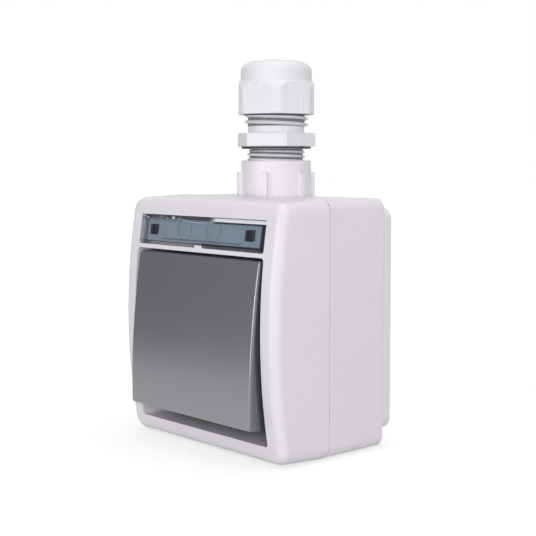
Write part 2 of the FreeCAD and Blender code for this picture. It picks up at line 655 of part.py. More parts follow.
def make_label_window():
    block = tray_block(-WINDOW_CLEARANCE, 0.0, TRAY_DEPTH)
    face = [f for f in block.Faces if f.Surface.TypeId == "Part::GeomCylinder"
            and abs(f.Surface.Radius - FRONT_ARC_RADIUS) < 1e-6][0]
    block = block.makeChamfer(WINDOW_EDGE, face.OuterWire.Edges)
    hollow = tray_block(-WINDOW_CLEARANCE - WINDOW_RIM, WINDOW_THICKNESS, TRAY_DEPTH + OVERRUN)
    window = block.cut(hollow).cut(window_bevel())
    hooks = []
    barb_front = TRAY_DEPTH + TRAY_FLOOR + LATCH_GAP
    barb_rear = barb_front + LATCH_BARB_LENGTH
    for sx in (-1, 1):
        x0 = sx * LATCH_HOLE_OFFSET - LATCH_WIDTH / 2
        z0 = WINDOW_MID_Z - LATCH_THICKNESS / 2
        stem = slab(x0, x0 + LATCH_WIDTH, CROWN_Y, COVER_REAR_Y, z0, z0 + LATCH_THICKNESS)
        stem = stem.cut(crown(barb_rear)).common(crown(WINDOW_THICKNESS / 2))
        barb = slab(x0, x0 + LATCH_WIDTH, CROWN_Y, COVER_REAR_Y, z0, z0 + LATCH_THICKNESS + LATCH_BARB)
        barb = barb.common(crown(barb_front)).cut(crown(barb_rear))
        hooks += [stem, barb]
    window = fuse(window, *hooks).cut(crossbar_block(NOTCH_CENTRE_X, NOTCH_WIDTH, NOTCH_HEIGHT))
    return window.cut(finger_scallop())


def make_label_card():
    card = label_block(0.0, LABEL_DEPTH, LABEL_DEPTH + LABEL_THICKNESS)
    for hole in latch_holes():
        card = card.cut(hole)
    return card


# Rocker and cradle, drawn level and then turned to the rest tilt
def rocker_arc(less):
    radius = ROCKER_ARC_RADIUS - less
    centre_y = PIVOT_Y - ROCKER_FACE_RISE + ROCKER_ARC_RADIUS
    return rod_x(radius, centre_y, PIVOT_Z, -BOX_WIDTH, BOX_WIDTH)


def make_rocker():
    face_y = PIVOT_Y - ROCKER_FACE_RISE
    rear_y = face_y + ROCKER_SKIRT_LENGTH
    front_y = face_y - 3 * OVERRUN
    grow = ROCKER_END_DRAFT
    rise = grow * (face_y - front_y) / ROCKER_SKIRT_LENGTH

    def block(inset, rear):
        wires = []
        for y, extra in ((rear, grow), (front_y, -rise)):
            half_w = ROCKER_HALF_W - inset
            half_l = ROCKER_HALF_LENGTH + extra - inset
            wires.append(outline(half_w, PIVOT_Z - half_l, PIVOT_Z + half_l, ROCKER_CORNER, y))
        return Part.makeLoft(wires, True, True)

    outer = block(0.0, rear_y).common(rocker_arc(0))
    face = [f for f in outer.Faces if f.Surface.TypeId == "Part::GeomCylinder"
            and abs(f.Surface.Radius - ROCKER_ARC_RADIUS) < 1e-6][0]
    outer = outer.makeFillet(ROCKER_EDGE, face.OuterWire.Edges)
    inner = block(ROCKER_WALL, rear_y + OVERRUN).common(rocker_arc(ROCKER_WALL))
    shell = outer.cut(inner)
    cradle_y = PIVOT_Y - CRADLE_FACE_RISE
    ribs = []
    for x in (-ROCKER_RIB_PLACE * CRADLE_HALF_WIDTH, 0.0, ROCKER_RIB_PLACE * CRADLE_HALF_WIDTH):
        ribs.append(slab(x - ROCKER_RIB / 2, x + ROCKER_RIB / 2, front_y, cradle_y,
                         PIVOT_Z - CRADLE_HALF_LENGTH, PIVOT_Z + CRADLE_HALF_LENGTH))
    for sz in (-1, 1):
        z0 = PIVOT_Z + sz * CRADLE_HALF_LENGTH
        zs = sorted([z0 + sz * CLIP_GAP, z0 + sz * (CLIP_GAP + CRADLE_CLIP)])
        hook_y = cradle_y + CRADLE_THICKNESS + CLIP_GAP / 2
        tip_y = cradle_y + CRADLE_THICKNESS + CLIP_HOOK_DEPTH
        arm = slab(-CLIP_HALF_WIDTH, CLIP_HALF_WIDTH, front_y, tip_y, zs[0], zs[1])
        zs = sorted([z0 - sz * CLIP_HOOK_REACH, z0 + sz * (CLIP_GAP + CRADLE_CLIP / 2)])
        ribs += [arm, slab(-CLIP_HALF_WIDTH, CLIP_HALF_WIDTH, hook_y, tip_y, zs[0], zs[1])]
    limit = rocker_arc(ROCKER_WALL / 2)
    body = fuse(shell, *[rib.common(limit) for rib in ribs])
    return tilted(body, -REST_TILT)


def make_cradle():
    face_y = PIVOT_Y - CRADLE_FACE_RISE
    rear_y = face_y + CRADLE_THICKNESS
    plate = prism(CRADLE_HALF_WIDTH, PIVOT_Z - CRADLE_HALF_LENGTH, PIVOT_Z + CRADLE_HALF_LENGTH,
                  CRADLE_CORNER, face_y, rear_y)
    tube = rod_y(PLUNGER_TUBE_RADIUS, 0, PIVOT_Z, rear_y - SINK, PIVOT_Y + PLUNGER_TUBE_REACH)
    pieces = [tube]
    lug_outer = EAR_INNER_X - EAR_GAP
    for sx in (-1, 1):
        xs = sorted([sx * (lug_outer - LUG_THICKNESS), sx * lug_outer])
        pieces.append(rod_x(LUG_RADIUS, PIVOT_Y, PIVOT_Z, xs[0], xs[1]))
        pieces.append(slab(xs[0], xs[1], rear_y - CRADLE_THICKNESS, PIVOT_Y, PIVOT_Z - LUG_RADIUS,
                           PIVOT_Z + LUG_RADIUS))
        xs = sorted([sx * (lug_outer - LUG_THICKNESS / 2), sx * (EAR_OUTER_X - EAR_GAP)])
        pieces.append(rod_x(PIN_RADIUS, PIVOT_Y, PIVOT_Z, xs[0], xs[1]))
    body = fuse(plate, *pieces)
    bore = rod_y(PLUNGER_RADIUS + PLUNGER_CLEARANCE, 0, PIVOT_Z, rear_y,
                 PIVOT_Y + PLUNGER_TUBE_REACH + OVERRUN)
    return tilted(body.cut(bore), -REST_TILT)


def plunger_head_y():
    return PIVOT_Y + PLUNGER_TUBE_REACH - PLUNGER_HEAD_LENGTH


def make_plunger():
    head_y = plunger_head_y()
    shoulder_y = PIVOT_Y + PLUNGER_TUBE_REACH + PLUNGER_SHOULDER
    tip_y = PIVOT_Y + PLUNGER_TIP_REACH - PLUNGER_TIP_RADIUS
    shank = rod_y(PLUNGER_RADIUS, 0, PIVOT_Z, head_y, shoulder_y)
    stem = rod_y(PLUNGER_TIP_RADIUS, 0, PIVOT_Z, shoulder_y - SINK, tip_y)
    ball = Part.makeSphere(PLUNGER_TIP_RADIUS, V(0, tip_y, PIVOT_Z))
    return tilted(fuse(shank, stem, ball), -REST_TILT)


def make_plunger_spring():
    """Wire coiled between the floor of the cradle's tube and the plunger."""
    seat_y = PIVOT_Y - CRADLE_FACE_RISE + CRADLE_THICKNESS
    length = plunger_head_y() - seat_y
    coil_radius = PLUNGER_RADIUS - SPRING_WIRE_RADIUS
    rise = length - 2 * (SPRING_WIRE_RADIUS + SPRING_END_GAP)
    helix = Part.makeHelix(rise / SPRING_TURNS, rise, coil_radius)
    turns = [2 * math.pi * i / SPRING_WIRE_SIDES for i in range(SPRING_WIRE_SIDES + 1)]
    section = Part.makePolygon([V(coil_radius + SPRING_WIRE_RADIUS * math.cos(a), 0,
                                  SPRING_WIRE_RADIUS * math.sin(a)) for a in turns])
    coil = Part.Wire(helix.Edges).makePipeShell([section], True, True)
    coil.rotate(V(0, 0, 0), V(1, 0, 0), -90)
    coil.translate(V(0, seat_y + SPRING_WIRE_RADIUS + SPRING_END_GAP, PIVOT_Z))
    return tilted(coil, -REST_TILT)


# Switch base, its lid and what it holds
def clamp_places():
    return [(CLAMP_OFFSET_X, PIVOT_Z + CLAMP_OFFSET_Z), (CLAMP_OFFSET_X, PIVOT_Z - CLAMP_OFFSET_Z),
            (-CLAMP_OFFSET_X, PIVOT_Z)]


def common_strip_y():
    return FULCRUM_Y + FULCRUM_GAP + KNIFE_HEIGHT


def make_switch_base():
    z0, z1 = PIVOT_Z - BASE_HALF_LENGTH, PIVOT_Z + BASE_HALF_LENGTH
    block = prism(BASE_HALF_WIDTH, z0, z1, BASE_CORNER, BASE_FRONT_Y, BASE_BACK_Y)
    flange = prism(BASE_HALF_WIDTH + BASE_FLANGE, z0 - BASE_FLANGE, z1 + BASE_FLANGE, FLANGE_CORNER,
                   RIM_Y - BASE_FLANGE_THICKNESS, RIM_Y)
    ears = []
    for sx in (-1, 1):
        xs = sorted([sx * EAR_INNER_X, sx * EAR_OUTER_X])
        ears.append(rod_x(EAR_RADIUS, PIVOT_Y, PIVOT_Z, xs[0], xs[1]))
        ears.append(slab(xs[0], xs[1], PIVOT_Y, BASE_FRONT_Y + OVERRUN, PIVOT_Z - EAR_RADIUS,
                         PIVOT_Z + EAR_RADIUS))
    body = fuse(block, flange, *ears)
    chamber = prism(BASE_HALF_WIDTH - BASE_WALL, z0 + BASE_WALL, z1 - BASE_WALL, BASE_CORNER / 2,
                    BASE_FRONT_Y, CHAMBER_FLOOR_Y)
    body = body.cut(chamber)
    rib_top = common_strip_y() + STRIP_THICKNESS
    rib = slab(-CLAMP_OFFSET_X, STRIP_HALF_WIDTH, rib_top, CHAMBER_FLOOR_Y + SINK,
               PIVOT_Z - STRIP_HALF_WIDTH, PIVOT_Z + STRIP_HALF_WIDTH)
    body = body.fuse(rib)
    pocket_half = CLAMP_SIZE / 2 + CLAMP_POCKET_CLEARANCE
    for x, z in clamp_places():
        floor_y = clamp_front_y() + CLAMP_DEPTH
        body = body.cut(slab(x - pocket_half, x + pocket_half, BASE_FRONT_Y, floor_y, z - pocket_half,
                             z + pocket_half))
        for dx in (-1, 1):
            hole_x = x + dx * CLAMP_SIZE / 4
            body = body.cut(rod_y(WIRE_HOLE_RADIUS, hole_x, z, floor_y - OVERRUN, BASE_BACK_Y + OVERRUN))
    for sx in (-1, 1):
        xs = sorted([sx * (EAR_INNER_X - OVERRUN), sx * (EAR_OUTER_X + OVERRUN)])
        body = body.cut(rod_x(PIN_RADIUS + PIN_CLEARANCE, PIVOT_Y, PIVOT_Z, xs[0], xs[1]))
    return body.removeSplitter()


def make_base_lid():
    half_w = EAR_INNER_X - LID_CLEARANCE
    y0, y1 = BASE_FRONT_Y - LID_THICKNESS - OVERRUN, BASE_FRONT_Y + OVERRUN
    lid = prism(half_w, PIVOT_Z - BASE_HALF_LENGTH, PIVOT_Z + BASE_HALF_LENGTH, BASE_CORNER,
                BASE_FRONT_Y - LID_THICKNESS, BASE_FRONT_Y)
    slot = slab(-LID_SLOT_HALF_WIDTH, LID_SLOT_HALF_WIDTH, y0, y1, PIVOT_Z - LID_SLOT_HALF_LENGTH,
                PIVOT_Z + LID_SLOT_HALF_LENGTH)
    lid = lid.cut(slot)
    for x, z in clamp_places():
        lid = lid.cut(rod_y(DRIVER_HOLE_RADIUS, x, z, y0, y1))
    return lid


def make_moving_contact():
    """See-saw lever with a rivet under each end, drawn level and turned about the fulcrum."""
    bar = slab(-LEVER_HALF_WIDTH, LEVER_HALF_WIDTH, LEVER_FRONT_Y, FULCRUM_Y,
               PIVOT_Z - LEVER_HALF_LENGTH, PIVOT_Z + LEVER_HALF_LENGTH)
    rivets = [rod_y(RIVET_RADIUS, 0, PIVOT_Z + s * RIVET_OFFSET, LEVER_FRONT_Y, FULCRUM_Y + RIVET_HEIGHT)
              for s in (-1, 1)]
    lever = fuse(bar, *rivets)
    lever.rotate(V(0, FULCRUM_Y, PIVOT_Z), V(1, 0, 0), LEVER_TILT)
    return lever


def make_fixed_contact(side):
    """Strip from a terminal to the rivet under one end of the lever."""
    tilt = math.radians(LEVER_TILT)
    reach = (RIVET_OFFSET + RIVET_RADIUS) * math.sin(tilt) + RIVET_HEIGHT * math.cos(tilt)
    rivet_front = FULCRUM_Y + reach + CONTACT_GAP
    strip_front = CHAMBER_FLOOR_Y - STRIP_THICKNESS
    rivet = rod_y(RIVET_RADIUS, 0, PIVOT_Z + side * RIVET_OFFSET, rivet_front, strip_front + RIVET_SEAT)
    zs = sorted([PIVOT_Z + side * (RIVET_OFFSET - CONTACT_PAD_MARGIN),
                 PIVOT_Z + side * (CLAMP_OFFSET_Z + CONTACT_PAD_MARGIN)])
    pad = slab(-STRIP_HALF_WIDTH, STRIP_HALF_WIDTH, strip_front, CHAMBER_FLOOR_Y, zs[0], zs[1])
    middle_z = PIVOT_Z + side * CLAMP_OFFSET_Z
    arm = slab(0, CLAMP_OFFSET_X - CLAMP_SIZE / 2 - CLAMP_POCKET_CLEARANCE, strip_front,
               CHAMBER_FLOOR_Y, middle_z - CONTACT_PAD_MARGIN, middle_z + CONTACT_PAD_MARGIN)
    return fuse(pad, arm, rivet)


def make_common_contact():
    strip_front = common_strip_y()
    knife_tip = FULCRUM_Y + FULCRUM_GAP
    half = KNIFE_HALF_WIDTH
    foot_y = strip_front + CONTACT_GAP
    side = [(-half, foot_y), (0.0, knife_tip), (half, foot_y)]
    points = [V(-STRIP_HALF_WIDTH, y, PIVOT_Z + z) for z, y in side]
    knife = Part.Face(Part.makePolygon(points + [points[0]])).extrude(V(2 * STRIP_HALF_WIDTH, 0, 0))
    strip = slab(-(CLAMP_OFFSET_X - CLAMP_SIZE / 2 - CLAMP_POCKET_CLEARANCE), STRIP_HALF_WIDTH,
                 strip_front, strip_front + STRIP_THICKNESS,
                 PIVOT_Z - STRIP_HALF_WIDTH + COMMON_STRIP_INSET,
                 PIVOT_Z + STRIP_HALF_WIDTH - COMMON_STRIP_INSET)
    return fuse(strip, knife)


def clamp_front_y():
    return CHAMBER_FLOOR_Y - CLAMP_RISE


def make_terminal_clamps():
    clamps = []
    for x, z in clamp_places():
        y0 = clamp_front_y()
        half = CLAMP_SIZE / 2
        block = slab(x - half, x + half, y0, y0 + CLAMP_DEPTH, z - half, z + half)
        block = block.cut(rod_y(TERMINAL_SCREW_RADIUS + TERMINAL_SCREW_CLEARANCE, x, z,
                                y0 - OVERRUN, y0 + CLAMP_DEPTH - CLAMP_FLOOR))
        for dx in (-1, 1):
            hole_x = x + dx * CLAMP_SIZE / 4
            block = block.cut(rod_y(WIRE_FUNNEL_RADIUS, hole_x, z, y0 + CLAMP_DEPTH - WIRE_HOLE_DEPTH,
                                    y0 + CLAMP_DEPTH + OVERRUN))
        clamps.append(block)
    return Part.makeCompound(clamps)


def make_terminal_screws():
    screws = []
    for x, z in clamp_places():
        y0 = clamp_front_y()
        head = rod_y(TERMINAL_HEAD_RADIUS, x, z, y0 - TERMINAL_HEAD_HEIGHT, y0)
        shank = rod_y(TERMINAL_SCREW_RADIUS, x, z, y0 - SINK,
                      y0 + CLAMP_DEPTH - CLAMP_FLOOR - TERMINAL_SCREW_TIP_GAP)
        slot = slab(x - TERMINAL_HEAD_RADIUS, x + TERMINAL_HEAD_RADIUS,
                    y0 - TERMINAL_HEAD_HEIGHT - OVERRUN, y0 - TERMINAL_HEAD_HEIGHT + TERMINAL_SLOT_DEPTH,
                    z - TERMINAL_SLOT_WIDTH / 2, z + TERMINAL_SLOT_WIDTH / 2)
        screws.append(fuse(head, shank).cut(slot))
    return Part.makeCompound(screws)


# Support frame, its seal and its screws
def make_support_frame():
    plate = prism(SUPPORT_HALF_W, SUPPORT_BOTTOM, SUPPORT_TOP, SUPPORT_CORNER, RIM_Y, SUPPORT_REAR_Y)
    half_l = BASE_HALF_LENGTH + SUPPORT_HOLE_CLEARANCE
    hole = prism(BASE_HALF_WIDTH + SUPPORT_HOLE_CLEARANCE, PIVOT_Z - half_l, PIVOT_Z + half_l, BASE_CORNER,
                 RIM_Y - OVERRUN, SUPPORT_REAR_Y + OVERRUN)
    plate = plate.cut(hole)
    for sx in (-1, 1):
        plate = plate.cut(rod_y(SCREW_HOLE_RADIUS, sx * POST_OFFSET, PIVOT_Z,
                                RIM_Y - OVERRUN, SUPPORT_REAR_Y + OVERRUN))
    return plate


def make_rocker_seal():
    ring = prism(SUPPORT_HALF_W, SUPPORT_BOTTOM, SUPPORT_TOP, SUPPORT_CORNER, SEAL_FRONT_Y, RIM_Y)
    hole = prism(OPENING_HALF_WIDTH - SEAL_LIP, OPENING_BOTTOM + SEAL_LIP, OPENING_TOP - SEAL_LIP,
                 OPENING_CORNER, SEAL_FRONT_Y - OVERRUN, RIM_Y + OVERRUN)
    return ring.cut(hole)


def make_frame_screws():
    screws = []
    for sx in (-1, 1):
        x = sx * POST_OFFSET
        head = rod_y(SCREW_HEAD_RADIUS, x, PIVOT_Z, RIM_Y - SCREW_HEAD_HEIGHT, RIM_Y)
        rim = [e for e in head.Edges if all(abs(v.Y - RIM_Y + SCREW_HEAD_HEIGHT) < 1e-6
                                            for v in e.Vertexes) and e.Closed]
        head = head.makeFillet(SCREW_HEAD_EDGE, rim)
        shank = rod_y(SCREW_SHANK_RADIUS, x, PIVOT_Z, RIM_Y - SINK, SUPPORT_REAR_Y + SCREW_LENGTH)
        y0 = RIM_Y - SCREW_HEAD_HEIGHT - OVERRUN
        y1 = RIM_Y - SCREW_HEAD_HEIGHT + SCREW_CROSS_DEPTH
        long, short = SCREW_CROSS_LENGTH / 2, SCREW_CROSS_WIDTH / 2
        slot = slab(x - long, x + long, y0, y1, PIVOT_Z - short, PIVOT_Z + short)
        cross = slab(x - short, x + short, y0, y1, PIVOT_Z - long, PIVOT_Z + long)
        screws.append(fuse(head, shank).cut(slot).cut(cross))
    return Part.makeCompound(screws)


# Cable gland
def make_gland_body():
    lower = rod_z(GLAND_THREAD_RADIUS, SOCKET_TOP - GLAND_THREAD_DEPTH, FLANGE_BOTTOM + SINK)
    flange = hexagon(FLANGE_ACROSS_FLATS, FLANGE_BOTTOM, FLANGE_TOP, FLANGE_TURN)
    corner = FLANGE_ACROSS_FLATS / math.sqrt(3)
    inner = corner - 2 * FLANGE_CHAMFER
    low, high = FLANGE_BOTTOM + FLANGE_CHAMFER, FLANGE_TOP - FLANGE_CHAMFER
    rounded = turned([[(0, FLANGE_BOTTOM), (inner, FLANGE_BOTTOM)],
                      [(inner, FLANGE_BOTTOM), (corner, low)],
                      [(corner, low), (corner, high)],
                      [(corner, high), (inner, FLANGE_TOP)],
                      [(inner, FLANGE_TOP), (0, FLANGE_TOP)],
                      [(0, FLANGE_TOP), (0, FLANGE_BOTTOM)]])
    flange = flange.common(rounded)
    neck = rod_z(NECK_RADIUS, FLANGE_TOP - SINK, NECK_TOP + SINK)
    upper = rod_z(TOP_THREAD_RADIUS, NECK_TOP, TOP_THREAD_TOP)
    collet = Part.makeCone(COLLET_ROOT_RADIUS, COLLET_TIP_RADIUS, COLLET_HEIGHT + SINK,
                           V(0, GLAND_Y, TOP_THREAD_TOP - SINK))
    body = fuse(lower, flange, neck, upper, collet)
    body = body.cut(rod_z(GLAND_BORE_RADIUS, SOCKET_TOP - GLAND_THREAD_DEPTH - OVERRUN,
                          COLLET_TOP + OVERRUN))
    body = body.cut(rod_z(COLLET_TIP_RADIUS - COLLET_WALL, SEAL_SEAT_Z, COLLET_TOP + OVERRUN))
    for i in range(COLLET_SLOTS):
        slot = slab(0, 2 * SOCKET_RADIUS, -COLLET_SLOT_WIDTH / 2, COLLET_SLOT_WIDTH / 2,
                    TOP_THREAD_TOP + SINK, COLLET_TOP + OVERRUN)
        slot.rotate(V(0, 0, 0), V(0, 0, 1), 360 / COLLET_SLOTS * (i + 0.5))
        slot.translate(V(0, GLAND_Y, 0))
        body = body.cut(slot)
    return body.removeSplitter()


def make_gland_washer():
    ring = rod_z(WASHER_RADIUS, WASHER_BOTTOM, FLANGE_BOTTOM)
    return ring.cut(rod_z(GLAND_THREAD_RADIUS + WASHER_CLEARANCE, WASHER_BOTTOM - OVERRUN,
                          FLANGE_BOTTOM + OVERRUN))


def make_gland_seal():
    radius = COLLET_TIP_RADIUS - COLLET_WALL - SEAL_WALL_CLEARANCE
    sleeve = rod_z(radius, SEAL_SEAT_Z, COLLET_TOP)
    return sleeve.cut(rod_z(SEAL_BORE_RADIUS, SEAL_SEAT_Z - OVERRUN, COLLET_TOP + OVERRUN))


def make_gland_nut():
    hexagonal = hexagon(NUT_ACROSS_FLATS, NUT_BOTTOM, NUT_TOP, NUT_TURN)
    run = NUT_CHAMFER_DROP
    back = DOME_RADIUS + NUT_CHAMFER_LAND
    limit = turned([[(0, NUT_BOTTOM), (NUT_CORNER_RADIUS, NUT_BOTTOM)],
                    [(NUT_CORNER_RADIUS, NUT_BOTTOM), (NUT_CORNER_RADIUS, NUT_TOP - run)],
                    [(NUT_CORNER_RADIUS, NUT_TOP - run), (back, NUT_TOP)],
                    [(back, NUT_TOP), (0, NUT_TOP)],
                    [(0, NUT_TOP), (0, NUT_BOTTOM)]])
    grip = hexagonal.common(limit)
    shoulder_z = DOME_TOP - DOME_SHOULDER
    flat_r = DOME_RADIUS - DOME_SHOULDER_RUN
    dome = turned([[(0, NUT_TOP - OVERRUN), (DOME_RADIUS, NUT_TOP - OVERRUN)],
                   [(DOME_RADIUS, NUT_TOP - OVERRUN), (DOME_RADIUS, shoulder_z)],
                   [(DOME_RADIUS, shoulder_z), (DOME_RADIUS, shoulder_z + DOME_FULLNESS * DOME_SHOULDER),
                    (flat_r + DOME_FULLNESS * DOME_SHOULDER_RUN, DOME_TOP), (flat_r, DOME_TOP)],
                   [(flat_r, DOME_TOP), (0, DOME_TOP)],
                   [(0, DOME_TOP), (0, NUT_TOP - OVERRUN)]])
    body = fuse(grip, dome)
    thread = TOP_THREAD_RADIUS + NUT_THREAD_CLEARANCE
    cone_top = DOME_TOP - DOME_WALL
    thread_top = TOP_THREAD_TOP + NUT_THREAD_OVER
    start, end = NUT_BOTTOM - OVERRUN, DOME_TOP + OVERRUN
    hollow = turned([[(0, start), (thread, start)],
                     [(thread, start), (thread, thread_top)],
                     [(thread, thread_top), (NECK_RADIUS, cone_top - DOME_CONE_DROP)],
                     [(NECK_RADIUS, cone_top - DOME_CONE_DROP), (DOME_HOLE_RADIUS, cone_top)],
                     [(DOME_HOLE_RADIUS, cone_top), (DOME_HOLE_RADIUS, end)],
                     [(DOME_HOLE_RADIUS, end), (0, end)],
                     [(0, end), (0, start)]])
    return body.cut(hollow).removeSplitter()


def main():
    os.makedirs("parts", exist_ok=True)
    save("back_box", make_back_box())
    save("box_gasket", make_gasket())
    save("front_cover", make_front_cover())
    save("label_window", make_label_window())
    save("label_card", make_label_card())
    save("rocker_key", make_rocker())
    save("rocker_cradle", make_cradle())
    save("plunger", make_plunger())
    save("plunger_spring", make_plunger_spring())
    save("switch_base", make_switch_base())
    save("base_lid", make_base_lid())
    save("moving_contact", make_moving_contact())
    save("upper_contact", make_fixed_contact(1))
    save("lower_contact", make_fixed_contact(-1))
    save("common_contact", make_common_contact())
    save("terminal_clamps", make_terminal_clamps())
    save("terminal_screws", make_terminal_screws())
    save("support_frame", make_support_frame())
    save("rocker_seal", make_rocker_seal())
    save("frame_screws", make_frame_screws())
    save("gland_body", make_gland_body())
    save("gland_washer", make_gland_washer())
    save("gland_seal", make_gland_seal())
    save("gland_nut", make_gland_nut())


main()
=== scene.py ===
import logging
import math
from dataclasses import dataclass, field
from enum import Enum
from typing import Callable, Sequence

import bmesh
import bpy
from bmesh.types import BMesh
from bpy.types import Material, Node, NodeSocket, NodeTree, Object
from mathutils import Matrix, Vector


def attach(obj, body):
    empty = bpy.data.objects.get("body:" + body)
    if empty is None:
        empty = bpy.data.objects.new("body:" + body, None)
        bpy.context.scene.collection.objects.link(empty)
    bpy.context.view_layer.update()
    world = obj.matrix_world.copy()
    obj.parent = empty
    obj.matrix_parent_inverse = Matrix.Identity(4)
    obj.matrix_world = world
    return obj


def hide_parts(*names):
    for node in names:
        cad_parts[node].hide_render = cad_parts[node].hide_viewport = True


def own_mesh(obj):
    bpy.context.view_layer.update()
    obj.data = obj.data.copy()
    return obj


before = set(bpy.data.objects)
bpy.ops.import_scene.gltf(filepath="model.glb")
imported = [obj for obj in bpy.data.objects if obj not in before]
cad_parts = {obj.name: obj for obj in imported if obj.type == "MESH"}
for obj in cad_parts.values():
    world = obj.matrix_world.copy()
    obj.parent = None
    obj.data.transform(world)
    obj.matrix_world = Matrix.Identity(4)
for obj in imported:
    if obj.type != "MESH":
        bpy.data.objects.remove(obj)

# Looks of the outdoor weatherproof switch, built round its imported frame. Sizes in the classes are in
# millimetres of the frame, and become metres where a mesh or a node is made.

LOG = logging.getLogger("outdoor_switch")
MM = 0.001
GLAND_Y = -17.0
FLAT_ANGLE = math.radians(60.0)

Point = tuple[float, float]
Span = tuple[float, float]
Place = tuple[float, float, float]
Mould = Callable[[float, float, float], float]


class Slot(Enum):
    """The record's material slots."""

    HOUSING = "grey_housing"
    GLAND = "grey_gland"
    RUBBER = "black_rubber"
    WINDOW = "smoked_window"
    CARD = "label_card"
    ROCKER = "graphite_rocker"
    WHITE = "white_moulding"
    SPRING = "spring_steel"
    BASE = "base_moulding"
    BRASS = "contact_brass"
    SCREW = "screw_steel"
    FRAME = "frame_steel"


class Body(Enum):
    """The bodies that new pieces ride on."""

    ROCKER = "rocker"
    GLAND = "gland"
    CAP = "cap"


@dataclass(frozen=True)
class Tone:
    """A colour as it shows on a screen, each part from 0 to 255."""

    red: float
    green: float
    blue: float

    def linear(self) -> tuple[float, float, float, float]:
        """Returns: the colour in scene values, with full alpha."""
        parts = []
        for value in (self.red, self.green, self.blue):
            share = value / 255.0
            parts.append(share / 12.92 if share <= 0.04045 else ((share + 0.055) / 1.055) ** 2.4)
        return parts[0], parts[1], parts[2], 1.0


# Node helpers
class Graph:
    """Short calls for filling one node tree."""

    def __init__(self, tree: NodeTree) -> None:
        """Takes the tree over and clears it.

        Args:
            tree: the node tree of a material, world or group.
        """
        self.tree = tree
        tree.nodes.clear()

    def add(self, kind: str, **settings: object) -> Node:
        """Adds one node.

        Args:
            kind: the node's type name.
            settings: properties of the node to set.

        Returns:
            The new node.
        """
        node = self.tree.nodes.new(kind)
        for name, value in settings.items():
            setattr(node, name, value)
        return node

    def feed(self, node: Node, **inputs: object) -> None:
        """Links or sets a node's inputs, whose names are written with _ for a space.

        Args:
            node: the node that takes the values.
            inputs: output sockets to link, or plain values to set.
        """
        for name, value in inputs.items():
            self.put(node.inputs[name.replace("_", " ")], value)

    def put(self, socket: NodeSocket, value: object) -> None:
        """Fills one input.

        Args:
            socket: the input.
            value: an output to link, or a plain value to set.
        """
        if isinstance(value, NodeSocket):
            self.tree.links.new(value, socket)
        else:
            socket.default_value = value

    def math(self, operation: str, *values: object) -> NodeSocket:
        """Adds a math node.

        Args:
            operation: the name of the operation.
            values: numbers or output sockets.

        Returns:
            The node's output.
        """
        node = self.add("ShaderNodeMath", operation=operation)
        for socket, value in zip(node.inputs, values):
            self.put(socket, value)
        return node.outputs[0]

    def times(self, first: object, second: object) -> NodeSocket:
        """Returns: the product of two values, or the part that two masks share."""
        return self.math("MULTIPLY", first, second)

    def most(self, first: object, second: object) -> NodeSocket:
        """Returns: the larger of two values, or two masks joined."""
        return self.math("MAXIMUM", first, second)

    def gap(self, value: object, centre: float) -> NodeSocket:
        """Returns: how far a value is from a centre, on either side."""
        return self.math("ABSOLUTE", self.math("SUBTRACT", value, centre))

    def reach(self, across: object, along: object) -> NodeSocket:
        """Returns: the length of two steps at a right angle."""
        return self.math("SQRT", self.math("ADD", self.times(across, across), self.times(along, along)))

    def ramp(self, value: object, low: float, high: float, start: object = 0.0,
             end: object = 1.0) -> NodeSocket:
        """Maps a range smoothly on another one.

        Args:
            value: the number to map.
            low: where the result is start.
            high: where the result is end.
            start: the result at low.
            end: the result at high.

        Returns:
            The mapped value.
        """
        node = self.add("ShaderNodeMapRange", interpolation_type="SMOOTHSTEP")
        for socket, item in zip(node.inputs, (value, low, high, start, end)):
            self.put(socket, item)
        return node.outputs[0]

    def mix(self, share: object, first: object, second: object) -> NodeSocket:
        """Mixes two colours.

        Args:
            share: how much of the second colour shows.
            first: a tone or a colour output.
            second: a tone or a colour output.

        Returns:
            The mixed colour.
        """
        node = self.add("ShaderNodeMix", data_type="RGBA")
        self.put(node.inputs[0], share)
        for socket, colour in zip(node.inputs[6:8], (first, second)):
            self.put(socket, colour.linear() if isinstance(colour, Tone) else colour)
        return node.outputs[2]

    def noise(self, vector: object, scale: object, detail: float, roughness: float) -> NodeSocket:
        """Adds a noise texture.

        Args:
            vector: the place it reads.
            scale: how many lumps it has in a metre.
            detail: how many finer layers it has.
            roughness: how strong the finer layers are.

        Returns:
            The noise value.
        """
        node = self.add("ShaderNodeTexNoise")
        self.feed(node, Vector=vector, Scale=scale, Detail=detail, Roughness=roughness)
        return node.outputs[0]

    def place(self) -> NodeSocket:
        """Returns: the object coordinates, which are the frame's own metres."""
        return self.add("ShaderNodeTexCoord").outputs["Object"]

    def axis(self, number: int) -> NodeSocket:
        """Reads one coordinate.

        Args:
            number: 0 for X, 1 for Y and 2 for Z.

        Returns:
            The coordinate, in millimetres.
        """
        split = self.add("ShaderNodeSeparateXYZ")
        self.put(split.inputs[0], self.place())
        return self.math("DIVIDE", split.outputs[number], MM)

    @property
    def x(self) -> NodeSocket:
        """Returns: the place across, in millimetres."""
        return self.axis(0)

    @property
    def y(self) -> NodeSocket:
        """Returns: the place from front to back, in millimetres."""
        return self.axis(1)

    @property
    def z(self) -> NodeSocket:
        """Returns: the height, in millimetres."""
        return self.axis(2)


